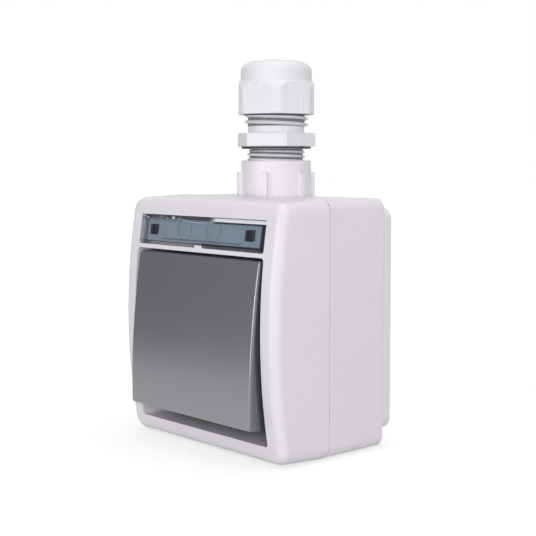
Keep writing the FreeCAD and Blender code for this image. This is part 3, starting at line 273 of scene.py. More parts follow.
class Effects:
    """Shader node groups that several materials share, each built once."""

    made: dict[str, NodeTree] = {}

    @classmethod
    def place(cls, graph: Graph, name: str, fill: Callable[[Graph, Node, Node], None],
              **inputs: object) -> Node:
        """Adds a group to a material, and builds the group the first time.

        Args:
            graph: the material's graph.
            name: the group's name.
            fill: adds the group's nodes, from its graph, its input node and its output node.
            inputs: values of its number inputs.

        Returns:
            The group's node, which gives a height, a roughness and a shade.
        """
        if name not in cls.made:
            tree = bpy.data.node_groups.new(name, "ShaderNodeTree")
            for label in inputs:
                tree.interface.new_socket(label, in_out="INPUT", socket_type="NodeSocketFloat")
            for label in ("Height", "Roughness", "Shade"):
                tree.interface.new_socket(label, in_out="OUTPUT", socket_type="NodeSocketFloat")
            inner = Graph(tree)
            fill(inner, inner.add("NodeGroupInput"), inner.add("NodeGroupOutput"))
            cls.made[name] = tree
        node = graph.add("ShaderNodeGroup")
        node.node_tree = cls.made[name]
        graph.feed(node, **inputs)
        return node

    @staticmethod
    def uneven(graph: Graph, given: Node, mask: NodeSocket) -> NodeSocket:
        """Returns: a group's roughness, spread by a mask round a half."""
        spread = graph.times(graph.math("SUBTRACT", mask, 0.5), given.outputs["Spread"])
        return graph.math("ADD", given.outputs["Roughness"], spread)

    @classmethod
    def moulded(cls, graph: Graph, given: Node, result: Node) -> None:
        """Fills the group for a moulded skin, with a fine texture, soft sink marks and patchy gloss.

        Args:
            graph: the group's graph.
            given: its input node, with the sizes of grain and patches in millimetres.
            result: its output node.
        """
        place = graph.place()
        grain_scale = graph.math("DIVIDE", 1.0, graph.times(given.outputs["Grain"], MM))
        patch_scale = graph.math("DIVIDE", 1.0, graph.times(given.outputs["Patch"], MM))
        grain = graph.noise(place, grain_scale, detail=2.0, roughness=0.6)
        patch = graph.noise(place, patch_scale, detail=3.0, roughness=0.55)
        height = graph.math("ADD", grain, graph.times(patch, given.outputs["Swell"]))
        graph.feed(result, Height=height, Roughness=cls.uneven(graph, given, patch),
                   Shade=graph.ramp(patch, 0.3, 0.7))

    @classmethod
    def drawn(cls, graph: Graph, given: Node, result: Node) -> None:
        """Fills the group for rolled or drawn metal, with fine lines along Z and dull patches.

        Args:
            graph: the group's graph.
            given: its input node, with the lines' fineness.
            result: its output node.
        """
        stretch = graph.add("ShaderNodeMapping")
        graph.feed(stretch, Vector=graph.place(), Scale=(1.0, 1.0, 0.06))
        lines = graph.noise(stretch.outputs[0], given.outputs["Fineness"], detail=4.0, roughness=0.6)
        patch = graph.noise(graph.place(), scale=160.0, detail=3.0, roughness=0.5)
        graph.feed(result, Height=lines, Roughness=cls.uneven(graph, given, lines),
                   Shade=graph.ramp(patch, 0.35, 0.7))


# Finishes
def start_material(name: str) -> tuple[Material, Graph, NodeSocket]:
    """Makes a material with nothing but its output.

    Args:
        name: the material's name.

    Returns:
        The material, its graph and the input that takes its shader.
    """
    material = bpy.data.materials.new(name)
    material.use_nodes = True
    graph = Graph(material.node_tree)
    return material, graph, graph.add("ShaderNodeOutputMaterial").inputs["Surface"]


@dataclass(frozen=True)
class Surface:
    """What every finish shares: a material with one principled shader."""

    def make(self, slot: Slot) -> Material:
        """Builds the material.

        Args:
            slot: the slot that it is for.

        Returns:
            The material.
        """
        material, graph, surface = start_material(slot.value)
        shader = graph.add("ShaderNodeBsdfPrincipled")
        graph.put(surface, shader.outputs["BSDF"])
        self.wire(graph, shader)
        return material

    def wire(self, graph: Graph, shader: Node) -> None:
        """Feeds the shader with what makes the finish.

        Args:
            graph: the material's graph.
            shader: its principled shader.
        """
        raise NotImplementedError

    def relief(self, graph: Graph, shader: Node, height: NodeSocket, depth: float) -> None:
        """Raises the surface in the shading.

        Args:
            graph: the material's graph.
            shader: its principled shader.
            height: the height output, from 0 to 1.
            depth: how high 1 stands, in millimetres.
        """
        bump = graph.add("ShaderNodeBump")
        graph.feed(bump, Height=height, Distance=depth * MM, Strength=1.0)
        graph.put(shader.inputs["Normal"], bump.outputs[0])


@dataclass(frozen=True)
class MouldedPlastic(Surface):
    """Injection moulded plastic with a fine even texture and patches of another tone."""

    tone: Tone
    other_tone: Tone
    roughness: float = 0.36
    spread: float = 0.10
    grain: float = 0.32
    depth: float = 0.005
    patch: float = 16.0
    swell: float = 0.8
    ior: float = 1.47

    def wire(self, graph: Graph, shader: Node) -> None:
        """Wires the moulded skin and the colour."""
        skin = Effects.place(graph, "moulded skin", Effects.moulded, Grain=self.grain, Patch=self.patch,
                             Swell=self.swell, Roughness=self.roughness, Spread=self.spread)
        graph.feed(shader, Base_Color=self.colour(graph, skin.outputs["Shade"]),
                   Roughness=skin.outputs["Roughness"], IOR=self.ior)
        self.relief(graph, shader, skin.outputs["Height"], self.depth)

    def colour(self, graph: Graph, patches: NodeSocket) -> NodeSocket:
        """Colours the plastic.

        Args:
            graph: the material's graph.
            patches: the mask of the faint patches.

        Returns:
            The colour output.
        """
        return graph.mix(patches, self.tone, self.other_tone)


@dataclass(frozen=True)
class ShadedThread:
    """A threaded stretch with painted shade in its roots: its heights, and the radii where that starts and is
    full.
    """

    low: float
    high: float
    start: float
    full: float


@dataclass(frozen=True)
class ThreadedPlastic(MouldedPlastic):
    """Moulded plastic with painted shade in its thread roots, also where the nut covers them."""

    root_shade_tone: Tone = Tone(112, 110, 114)
    threads: tuple[ShadedThread, ...] = (ShadedThread(53.6, 57.6, 9.42, 9.24),
                                         ShadedThread(65.0, 72.0, 10.15, 9.85))
    fade: float = 0.2
    low_fade: float = 0.6
    nut_shade: Span = (68.75, 68.95)
    nut_end: float = 72.0
    nut_radius: Span = (11.1, 11.0)

    def colour(self, graph: Graph, patches: NodeSocket) -> NodeSocket:
        """Colours the plastic and paints shade into the roots of its threads and just under the nut."""
        plain = super().colour(graph, patches)
        radius = graph.reach(graph.x, graph.math("SUBTRACT", graph.y, GLAND_Y))
        # Painted shade in the thread roots.
        mask: object = 0.0
        for thread in self.threads:
            deep = graph.ramp(radius, thread.start, thread.full)
            deep = graph.times(deep, graph.ramp(graph.z, thread.low, thread.low + self.low_fade))
            deep = graph.times(deep, graph.ramp(graph.z, thread.high, thread.high - self.fade))
            mask = graph.most(mask, deep)
        # Painted shadow just below and inside the nut, on the cap thread that it covers.
        nut_shadow = graph.times(graph.ramp(graph.z, *self.nut_shade),
                             graph.ramp(graph.z, self.nut_end, self.nut_end - self.fade))
        nut_shadow = graph.times(nut_shadow, graph.ramp(radius, *self.nut_radius))
        return graph.mix(graph.most(mask, nut_shadow), plain, self.root_shade_tone)


@dataclass(frozen=True)
class GraphiteLacquer(MouldedPlastic):
    """Dark grey lacquer with fine metal flakes of another tone under a clear coat, with painted shade on its
    flanks.
    """

    roughness: float = 0.32
    spread: float = 0.03
    grain: float = 0.22
    depth: float = 0.0012
    patch: float = 24.0
    swell: float = 0.3
    ior: float = 1.5
    flank_shade_tone: Tone = Tone(112, 116, 123)
    flank_shade_x: Span = (30.85, 31.12)
    flake: float = 0.09
    sparkle: Span = (0.55, 1.0)
    metallic: float = 0.75
    coat: float = 0.12
    coat_roughness: float = 0.12

    def wire(self, graph: Graph, shader: Node) -> None:
        """Adds the metal and the coat."""
        super().wire(graph, shader)
        graph.feed(shader, Metallic=self.metallic, Coat_Weight=self.coat, Coat_Roughness=self.coat_roughness)

    def colour(self, graph: Graph, patches: NodeSocket) -> NodeSocket:
        """Scatters the flakes in place of patches, and paints shade on the flanks."""
        cells = graph.add("ShaderNodeTexVoronoi")
        graph.feed(cells, Vector=graph.place(), Scale=1.0 / (self.flake * MM))
        split = graph.add("ShaderNodeSeparateColor")
        graph.put(split.inputs[0], cells.outputs["Color"])
        lacquer = graph.mix(graph.ramp(split.outputs[0], *self.sparkle), self.tone, self.other_tone)
        # Painted shade on the flanks, which also dims the highlight on their edges.
        flank_shade = graph.ramp(graph.math("ABSOLUTE", graph.x), *self.flank_shade_x)
        return graph.mix(flank_shade, lacquer, self.flank_shade_tone)


@dataclass(frozen=True)
class Rubber(MouldedPlastic):
    """Matt rubber with a soft bloom of another tone."""

    roughness: float = 0.62
    spread: float = 0.16
    grain: float = 0.5
    depth: float = 0.02
    patch: float = 6.0
    swell: float = 0.4
    ior: float = 1.5


@dataclass(frozen=True)
class SmokedPlastic(Surface):
    """Clear smoky plastic with painted shade at its right end, along its lower edge, below its top edge and
    over its latches, a painted highlight along its top edge and below the scallop, and painted light over its
    left end.

    A pair is where a mark starts and where it is full: in millimetres from the window's nearest edge, from
    the middle of the latch or the scallop, or across the part where its name ends in _x. The pair streaks
    holds noise values, and polish is a range of roughness.
    """

    tone: Tone
    painted_shade_tone: Tone
    painted_highlight_tone: Tone
    painted_light_tone: Tone
    alpha: float = 0.25
    half_width: float = 32.18
    bottom: float = 25.42
    top: float = 35.18
    right_shade: Span = (1.9, 1.5)
    left_light: Span = (3.2, 1.8)
    low_shade: Span = (1.5, 1.1)
    low_edge: Span = (0.55, 0.85)
    low_edge_share: float = 0.5
    low_shade_x: Span = (-4.0, 4.0)
    low_left_share: float = 0.35
    line: Span = (1.9, 1.5)
    line_end: Span = (1.1, 1.4)
    line_x: Span = (2.0, 9.0)
    line_left_share: float = 0.4
    latch_at_x: float = 24.78
    latch_at_z: float = 30.3
    latch: Span = (1.85, 1.6)
    strip: Span = (1.25, 1.05)
    strip_end: Span = (0.0, 0.15)
    strip_shade: float = 0.6
    highlight_x: Span = (3.0, 8.0)
    streaks: Span = (0.56, 0.66)
    streak_scale: float = 420.0
    streak_x: Span = (-8.0, -11.0)
    scallop_shift: float = -1.0
    scallop_drop: float = 1.85
    scallop_radius: float = 50.0
    scallop_line: Span = (0.2, 0.08)
    scallop_x: Span = (10.5, 8.5)
    scallop_share: float = 0.55
    shade_cover: float = 0.93
    highlight_cover: float = 0.95
    light_cover: float = 0.7
    polish: Span = (0.05, 0.11)
    ior: float = 1.49

    def wire(self, graph: Graph, shader: Node) -> None:
        """Lays painted light, painted shade and painted highlights over the clear plastic."""
        # Painted light over the left end, which is lighter and more opaque.
        start, full = self.left_light
        painted_light = graph.ramp(graph.x, start - self.half_width, full - self.half_width)
        strip = graph.times(self.below_top(graph, self.strip), self.below_top(graph, self.strip_end))
        # Painted shade: the right end, the lower edge, a line below the top edge, the latches, and the strip
        # under the top edge's painted highlight.
        shade = graph.most(self.painted_shade(graph), graph.times(strip, self.strip_shade))
        # Painted highlight along the top edge and below the finger scallop.
        painted_highlight = graph.most(graph.times(strip, self.top_edge_highlight(graph)), self.scallop(graph))
        colour = graph.mix(painted_light, self.tone, self.painted_light_tone)
        colour = graph.mix(shade, colour, self.painted_shade_tone)
        colour = graph.mix(painted_highlight, colour, self.painted_highlight_tone)
        alpha: object = self.alpha
        for mask, cover in ((shade, self.shade_cover), (painted_highlight, self.highlight_cover), (painted_light, self.light_cover)):
            alpha = graph.most(alpha, graph.times(mask, cover))
        fine = graph.noise(graph.place(), scale=900.0, detail=2.0, roughness=0.5)
        graph.feed(shader, Base_Color=colour, Alpha=alpha, Roughness=graph.ramp(fine, 0.2, 0.8, *self.polish),
                   IOR=self.ior)

    def below_top(self, graph: Graph, drops: Span) -> NodeSocket:
        """Returns: a mask that rises between two depths below the window's top edge."""
        return graph.ramp(graph.z, self.top - drops[0], self.top - drops[1])

    def above_bottom(self, graph: Graph, rises: Span, *ends: float) -> NodeSocket:
        """Returns: a mask that rises between two heights over the window's lower edge."""
        return graph.ramp(graph.z, self.bottom + rises[0], self.bottom + rises[1], *ends)

    def painted_shade(self, graph: Graph) -> NodeSocket:
        """Finds the painted shade at the right end, along the lower edge, in a line below the top edge and
        over the latches.

        Args:
            graph: the material's graph.

        Returns:
            Their mask.
        """
        x = graph.x
        right = graph.ramp(x, *(self.half_width - inset for inset in self.right_shade))
        low = graph.times(self.above_bottom(graph, self.low_shade),
                          self.above_bottom(graph, self.low_edge, self.low_edge_share, 1.0))
        low = graph.times(low, graph.ramp(x, *self.low_shade_x, self.low_left_share, 1.0))
        line = graph.times(self.below_top(graph, self.line), self.below_top(graph, self.line_end))
        line = graph.times(line, graph.ramp(x, *self.line_x, self.line_left_share, 1.0))
        aside = graph.gap(graph.math("ABSOLUTE", x), self.latch_at_x)
        latch = graph.times(graph.ramp(aside, *self.latch),
                            graph.ramp(graph.gap(graph.z, self.latch_at_z), *self.latch))
        return graph.most(graph.most(right, graph.most(low, line)), latch)

    def top_edge_highlight(self, graph: Graph) -> NodeSocket:
        """Paints a highlight along the top edge, whole on the right and in streaks on the left.

        Args:
            graph: the material's graph.

        Returns:
            How much painted highlight it carries.
        """
        noise = graph.noise(graph.place(), self.streak_scale, detail=3.0, roughness=0.7)
        streaks = graph.times(graph.ramp(noise, *self.streaks), graph.ramp(graph.x, *self.streak_x))
        return graph.math("MINIMUM", graph.math("ADD", graph.ramp(graph.x, *self.highlight_x), streaks), 1.0)

    def scallop(self, graph: Graph) -> NodeSocket:
        """Draws a painted highlight line along the lower edge of the finger scallop.

        Args:
            graph: the material's graph.

        Returns:
            The line's mask.
        """
        across = graph.math("SUBTRACT", graph.x, self.scallop_shift)
        rise = graph.math("SUBTRACT", graph.z, self.top - self.scallop_drop + self.scallop_radius)
        off = graph.gap(graph.reach(across, rise), self.scallop_radius)
        middle = graph.ramp(graph.math("ABSOLUTE", across), *self.scallop_x, 0.0, self.scallop_share)
        return graph.times(graph.ramp(off, *self.scallop_line), middle)


@dataclass(frozen=True)
class PrintedCard(Surface):
    """Plain card with a dotted writing line and two thin rings."""

    tone: Tone
    ink_tone: Tone
    ring_tone: Tone
    line_z: float = 27.35
    line_from: float = -20.6
    line_to: float = 20.8
    line_edge: Span = (0.36, 0.22)
    pitch: float = 1.3
    dot_start: Span = (0.0, 0.12)
    dot_end: Span = (0.62, 0.5)
    dot_phase: float = 60.0
    ring_shift: float = -1.3
    ring_x: float = 7.5
    ring_z: float = 31.0
    ring_radius: float = 3.6
    ring_edge: Span = (0.26, 0.1)
    ring_share: float = 0.8
    cloud_share: float = 0.14
    roughness: Span = (0.55, 0.75)
    depth: float = 0.01

    def wire(self, graph: Graph, shader: Node) -> None:
        """Prints the card."""
        fibre = graph.noise(graph.place(), scale=2600.0, detail=4.0, roughness=0.6)
        cloud = graph.noise(graph.place(), scale=190.0, detail=3.0, roughness=0.5)
        paper = graph.mix(graph.ramp(cloud, 0.3, 0.7, 0.0, self.cloud_share), self.tone, self.ring_tone)
        colour = graph.mix(graph.times(self.rings(graph), self.ring_share), paper, self.ring_tone)
        colour = graph.mix(self.dots(graph), colour, self.ink_tone)
        graph.feed(shader, Base_Color=colour, Roughness=graph.ramp(fibre, 0.2, 0.8, *self.roughness))
        self.relief(graph, shader, fibre, self.depth)

    def dots(self, graph: Graph) -> NodeSocket:
        """Draws the dotted line.

        Args:
            graph: the material's graph.

        Returns:
            The line's mask.
        """
        turns = graph.math("DIVIDE", graph.math("ADD", graph.x, self.dot_phase), self.pitch)
        wave = graph.math("FRACT", turns)
        dots = graph.times(graph.ramp(wave, *self.dot_start), graph.ramp(wave, *self.dot_end))
        dots = graph.times(dots, graph.ramp(graph.gap(graph.z, self.line_z), *self.line_edge))
        return graph.times(dots, graph.times(graph.math("GREATER_THAN", graph.x, self.line_from),
                                             graph.math("LESS_THAN", graph.x, self.line_to)))

    def rings(self, graph: Graph) -> NodeSocket:
        """Draws the two rings.

        Args:
            graph: the material's graph.

        Returns:
            Their mask.
        """
        aside = graph.math("SUBTRACT", graph.gap(graph.x, self.ring_shift), self.ring_x)
        reach = graph.reach(aside, graph.math("SUBTRACT", graph.z, self.ring_z))
        return graph.ramp(graph.gap(reach, self.ring_radius), *self.ring_edge)


@dataclass(frozen=True)
class BareMetal(Surface):
    """Metal with fine drawn lines and faintly dull patches."""

    tone: Tone
    dull_tone: Tone
    roughness: float = 0.28
    spread: float = 0.25
    fineness: float = 2600.0
    depth: float = 0.003

    def wire(self, graph: Graph, shader: Node) -> None:
        """Wires the drawn lines and the dull patches."""
        skin = Effects.place(graph, "drawn metal", Effects.drawn, Fineness=self.fineness,
                             Roughness=self.roughness, Spread=self.spread)
        graph.feed(shader, Base_Color=graph.mix(skin.outputs["Shade"], self.tone, self.dull_tone),
                   Metallic=1.0, Roughness=skin.outputs["Roughness"])
        self.relief(graph, shader, skin.outputs["Height"], self.depth)


class Palette:
    """Every finish of the switch by its slot, made when it is first asked for."""

    finishes: dict[Slot, Surface] = {
        Slot.HOUSING: MouldedPlastic(Tone(228, 224, 230), Tone(226, 222, 228)),
        Slot.GLAND: ThreadedPlastic(Tone(231, 229, 234), Tone(228, 226, 231), roughness=0.46, patch=9.0),
        Slot.RUBBER: Rubber(Tone(50, 50, 52), Tone(62, 62, 64)),
        # The window's last three tones are its painted shade, painted highlight and painted light on the left
        # end.
        Slot.WINDOW: SmokedPlastic(Tone(104, 116, 126), Tone(38, 36, 40), Tone(238, 240, 243),
                                   Tone(158, 166, 174)),
        Slot.CARD: PrintedCard(Tone(178, 201, 217), Tone(16, 30, 44), Tone(116, 134, 148)),
        Slot.ROCKER: GraphiteLacquer(Tone(143, 141, 145), Tone(152, 150, 154)),
        Slot.WHITE: MouldedPlastic(Tone(236, 236, 232), Tone(230, 230, 226), roughness=0.45),
        Slot.SPRING: BareMetal(Tone(196, 196, 200), Tone(160, 160, 164), roughness=0.22),
        Slot.BASE: MouldedPlastic(Tone(66, 66, 68), Tone(58, 58, 60), roughness=0.5, grain=0.5),
        Slot.BRASS: BareMetal(Tone(214, 178, 108), Tone(186, 148, 84), roughness=0.26),
        Slot.SCREW: BareMetal(Tone(206, 206, 208), Tone(176, 176, 176), roughness=0.3),
        Slot.FRAME: BareMetal(Tone(198, 200, 203), Tone(170, 172, 176), roughness=0.38, fineness=900.0),
    }
    made: dict[Slot, Material] = {}

    @classmethod
    def get(cls, slot: Slot) -> Material:
        """Returns: the material of a slot."""
        if slot not in cls.made:
            cls.made[slot] = cls.finishes[slot].make(slot)
        return cls.made[slot]


# Mesh helpers
def revolve(profile: Sequence[Point], segments: int, start: float, mould: Mould) -> BMesh:
    """Turns a closed profile once round the gland's axis and moulds its skin.

    Args:
        profile: radius and height of each corner, in order round the solid's section.
        segments: how many steps the turn has.
        start: the angle of the first section, in degrees.
        mould: gives the new radius from the angle, radius and height of a vertex.

    Returns:
        The closed mesh, in metres.
    """
    mesh = bmesh.new()
    turn = math.radians(start)
    ring = [mesh.verts.new((r * math.cos(turn) * MM, (GLAND_Y + r * math.sin(turn)) * MM, z * MM))
            for r, z in profile]
    edges = [mesh.edges.new((a, b)) for a, b in zip(ring, ring[1:] + ring[:1])]
    bmesh.ops.spin(mesh, geom=ring + edges, cent=(0.0, GLAND_Y * MM, 0.0), axis=(0.0, 0.0, 1.0),
                   dvec=(0.0, 0.0, 0.0), angle=2.0 * math.pi, steps=segments, use_merge=True,
                   use_duplicate=False)
    for vertex in mesh.verts:
        x, y = vertex.co.x / MM, vertex.co.y / MM - GLAND_Y
        radius, angle = math.hypot(x, y), math.atan2(y, x)
        scale = mould(angle, radius, vertex.co.z / MM) / radius
        vertex.co.x = x * scale * MM
        vertex.co.y = (GLAND_Y + y * scale) * MM
    bmesh.ops.recalc_face_normals(mesh, faces=mesh.faces)
    return mesh


def link_mesh(mesh: BMesh, name: str) -> Object:
    """Puts a mesh into the scene.

    Args:
        mesh: the mesh, which is freed.
        name: the name of its object.

    Returns:
        The object.
    """
    data = bpy.data.meshes.new(name)
    mesh.to_mesh(data)
    mesh.free()
    item = bpy.data.objects.new(name, data)
    bpy.context.scene.collection.objects.link(item)
    return item


def finish_piece(mesh: BMesh, name: str, slot: Slot, body: Body, replaces: str,
                 sharp: float = 32.0) -> Object:
    """Makes the object of a mesh, with its finish, its body and the node that it stands for.

    Args:
        mesh: the mesh, which is freed.
        name: the piece's name.
        slot: its material slot.
        body: the body that it rides on.
        replaces: the CAD node that it stands for.
        sharp: the angle between faces past which an edge stays sharp, in degrees.

    Returns:
        The object.
    """
    limit = math.radians(sharp)
    for face in mesh.faces:
        face.smooth = True
    for edge in mesh.edges:
        edge.smooth = not edge.is_manifold or edge.calc_face_angle() < limit
    item = link_mesh(mesh, name)
    item.data.materials.append(Palette.get(slot))
    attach(item, body.value)
    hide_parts(replaces)
    LOG.info("%s: %d faces, finish %s, on %s", name, len(item.data.polygons), slot.value, body.value)
    return item


def steps(start: float, end: float, pitch: float) -> list[float]:
    """Returns: heights from start to end, about a pitch apart."""
    count = max(1, round((end - start) / pitch))
    return [start + (end - start) * i / count for i in range(count + 1)]


@dataclass(frozen=True)
class Thread:
    """A screw thread on an upright core. Shares are parts of a pitch."""

    low: float
    high: float
    crest: float
    root: float
    pitch: float
    phase: float
    crest_share: float
    root_share: float
    fade_share: float = 0.25
    rows_per_pitch: int = 24

    def rows(self) -> list[Point]:
        """Returns: the profile points of the threaded length, upwards."""
        return [(self.crest, z) for z in steps(self.low, self.high, self.pitch / self.rows_per_pitch)]

    def radius(self, angle: float, z: float) -> float:
        """Finds the skin of the thread.

        Args:
            angle: the angle about the axis, in radians.
            z: the height.

        Returns:
            The radius there.
        """
        turn = (z / self.pitch + angle / (2.0 * math.pi) + self.phase) % 1.0
        away = abs(turn - 0.5) * 2.0
        share = (away - self.crest_share) / (1.0 - self.root_share - self.crest_share)
        share = min(max(share, 0.0), 1.0)
        fade = min(self.high - z, z - self.low) / (self.fade_share * self.pitch)
        return self.crest + (self.root - self.crest) * max(share, 1.0 - min(max(fade, 0.0), 1.0))


def hexagon_radius(angle: float, across: float, corner: float, turn: float) -> float:
    """Finds the skin of a hexagon with rounded corners.

    Args:
        angle: the angle about the axis, in radians.
        across: the width across its flats.
        corner: the largest radius at its corners.
        turn: the angle of a corner, in degrees.

    Returns:
        The radius at that angle.
    """
    off = (angle - math.radians(turn)) % FLAT_ANGLE - FLAT_ANGLE / 2.0
    return min(across / 2.0 / math.cos(off), corner)


# Sub-assemblies
class Assembly:
    """A sub-assembly, whose CAD nodes are listed by their finish."""

    looks: dict[Slot, tuple[str, ...]] = {}

    def dress(self) -> None:
        """Gives the CAD nodes their finishes."""
        for slot, names in self.looks.items():
            for name in names:
                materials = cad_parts[name].data.materials
                materials.clear()
                materials.append(Palette.get(slot))
                LOG.info("%s: CAD node, finish %s", name, slot.value)


class Housing(Assembly):
    """The rear box, the front cover and their rubbers."""

    looks = {Slot.HOUSING: ("back_box", "front_cover"), Slot.RUBBER: ("box_gasket", "rocker_seal")}


class LabelField(Assembly):
    """The label window over its card."""

    looks = {Slot.WINDOW: ("label_window",), Slot.CARD: ("label_card",)}


@dataclass
class Rocker(Assembly):
    """The rocker on its cradle, with the plunger inside."""

    looks = {Slot.ROCKER: ("rocker_key",), Slot.WHITE: ("rocker_cradle", "plunger")}
    merge: float = 0.0001
    spring_axis: Place = (0.0, -0.996917, 0.078459)
    spring_centre_y: float = -47.3
    spring_centre_z: float = -4.04
    plunger_stroke: float = 1.0

    def build(self) -> Object:
        """Copies the spring onto the rocker's body.

        Returns:
            The spring's object.
        """
        mesh = bmesh.new()
        mesh.from_mesh(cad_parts["plunger_spring"].data)
        bmesh.ops.remove_doubles(mesh, verts=mesh.verts, dist=self.merge * MM)
        spring = finish_piece(mesh, "plunger_spring_coil", Slot.SPRING, Body.ROCKER, "plunger_spring")
        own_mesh(spring)
        return spring


class SwitchInsert(Assembly):
    """The base with its contacts and terminals, on its support frame."""

    looks = {
        Slot.BASE: ("switch_base", "base_lid"),
        Slot.BRASS: ("moving_contact", "upper_contact", "lower_contact", "common_contact", "terminal_clamps"),
        Slot.SCREW: ("terminal_screws", "frame_screws"),
        Slot.FRAME: ("support_frame",),
    }


@dataclass
class GlandBody:
    """The gland's body: entry thread, spanner flange, neck, cap thread and collet."""

    bottom: float = 44.7
    bottom_edge: float = 0.5
    socket_top: float = 53.7
    flange_bottom: float = 58.4
    flange_top: float = 63.0
    neck_top: float = 65.3
    thread_top: float = 75.7
    collet_top: float = 80.7
    bore: float = 7.2
    seat: float = 70.5
    seat_radius: float = 7.9
    entry_radius: float = 9.95
    entry_root: float = 9.12
    entry_pitch: float = 1.6
    entry_hidden: float = 2.0
    relief: float = 57.1
    neck_radius: float = 9.6
    neck_foot: float = 9.9
    neck_foot_rise: float = 0.6
    cap_radius: float = 11.05
    cap_root: float = 9.7
    cap_pitch: float = 2.1
    cap_turns: int = 3
    cap_start: float = 0.1
    step: float = 0.01
    collet_foot: float = 10.2
    collet_tip: float = 9.4
    across_flats: float = 24.0
    corner: float = 13.86
    corner_turn: float = 32.1
    edge: float = 0.3
    edge_land: float = 1.0
    segments: int = 144
    marker: float = 20.0
    tolerance: float = 1e-4

    def threads(self) -> tuple[Thread, Thread]:
        """Returns: the entry thread and the cap thread."""
        entry = Thread(self.socket_top - self.entry_hidden, self.relief, self.entry_radius,
                       self.entry_root, self.entry_pitch, phase=0.006, crest_share=0.16, root_share=0.26)
        cap = Thread(self.neck_top - self.cap_start, self.neck_top + self.cap_turns * self.cap_pitch,
                     self.cap_radius, self.cap_root, self.cap_pitch, phase=0.02, crest_share=0.10,
                     root_share=0.30)
        return entry, cap

    def build(self) -> Object:
        """Turns the body, cuts its threads and forms its spanner flats.

        Returns:
            The piece.
        """
        entry, cap = self.threads()
        wide, land = self.marker, self.marker - self.edge - self.edge_land
        profile = [(self.bore, self.bottom), (self.entry_radius - self.bottom_edge, self.bottom),
                   (self.entry_radius, self.bottom + self.bottom_edge)]
        profile += entry.rows()
        profile += [(self.entry_root, self.relief + self.step), (self.entry_root, self.flange_bottom),
                    (land, self.flange_bottom), (wide - self.edge, self.flange_bottom),
                    (wide, self.flange_bottom + self.edge), (wide, self.flange_top - self.edge),
                    (wide - self.edge, self.flange_top), (land, self.flange_top),
                    (self.neck_foot, self.flange_top),
                    (self.neck_radius, self.flange_top + self.neck_foot_rise),
                    (self.neck_radius, cap.low - self.step)]
        profile += cap.rows()
        profile += [(self.cap_radius, self.thread_top), (self.collet_foot, self.thread_top),
                    (self.collet_tip, self.collet_top), (self.seat_radius, self.collet_top),
                    (self.seat_radius, self.seat), (self.bore, self.seat)]

        def mould(angle: float, radius: float, z: float) -> float:
            if radius > self.marker / 2 + self.entry_radius / 2:
                flat = hexagon_radius(angle, self.across_flats, self.corner, self.corner_turn)
                return flat - (self.marker - radius)
            for thread in (entry, cap):
                if thread.low <= z <= thread.high and abs(radius - thread.crest) < self.tolerance:
                    return thread.radius(angle, z)
            return radius

        mesh = revolve(profile, self.segments, 0.0, mould)
        return finish_piece(mesh, "gland_body_threaded", Slot.GLAND, Body.GLAND, "gland_body")


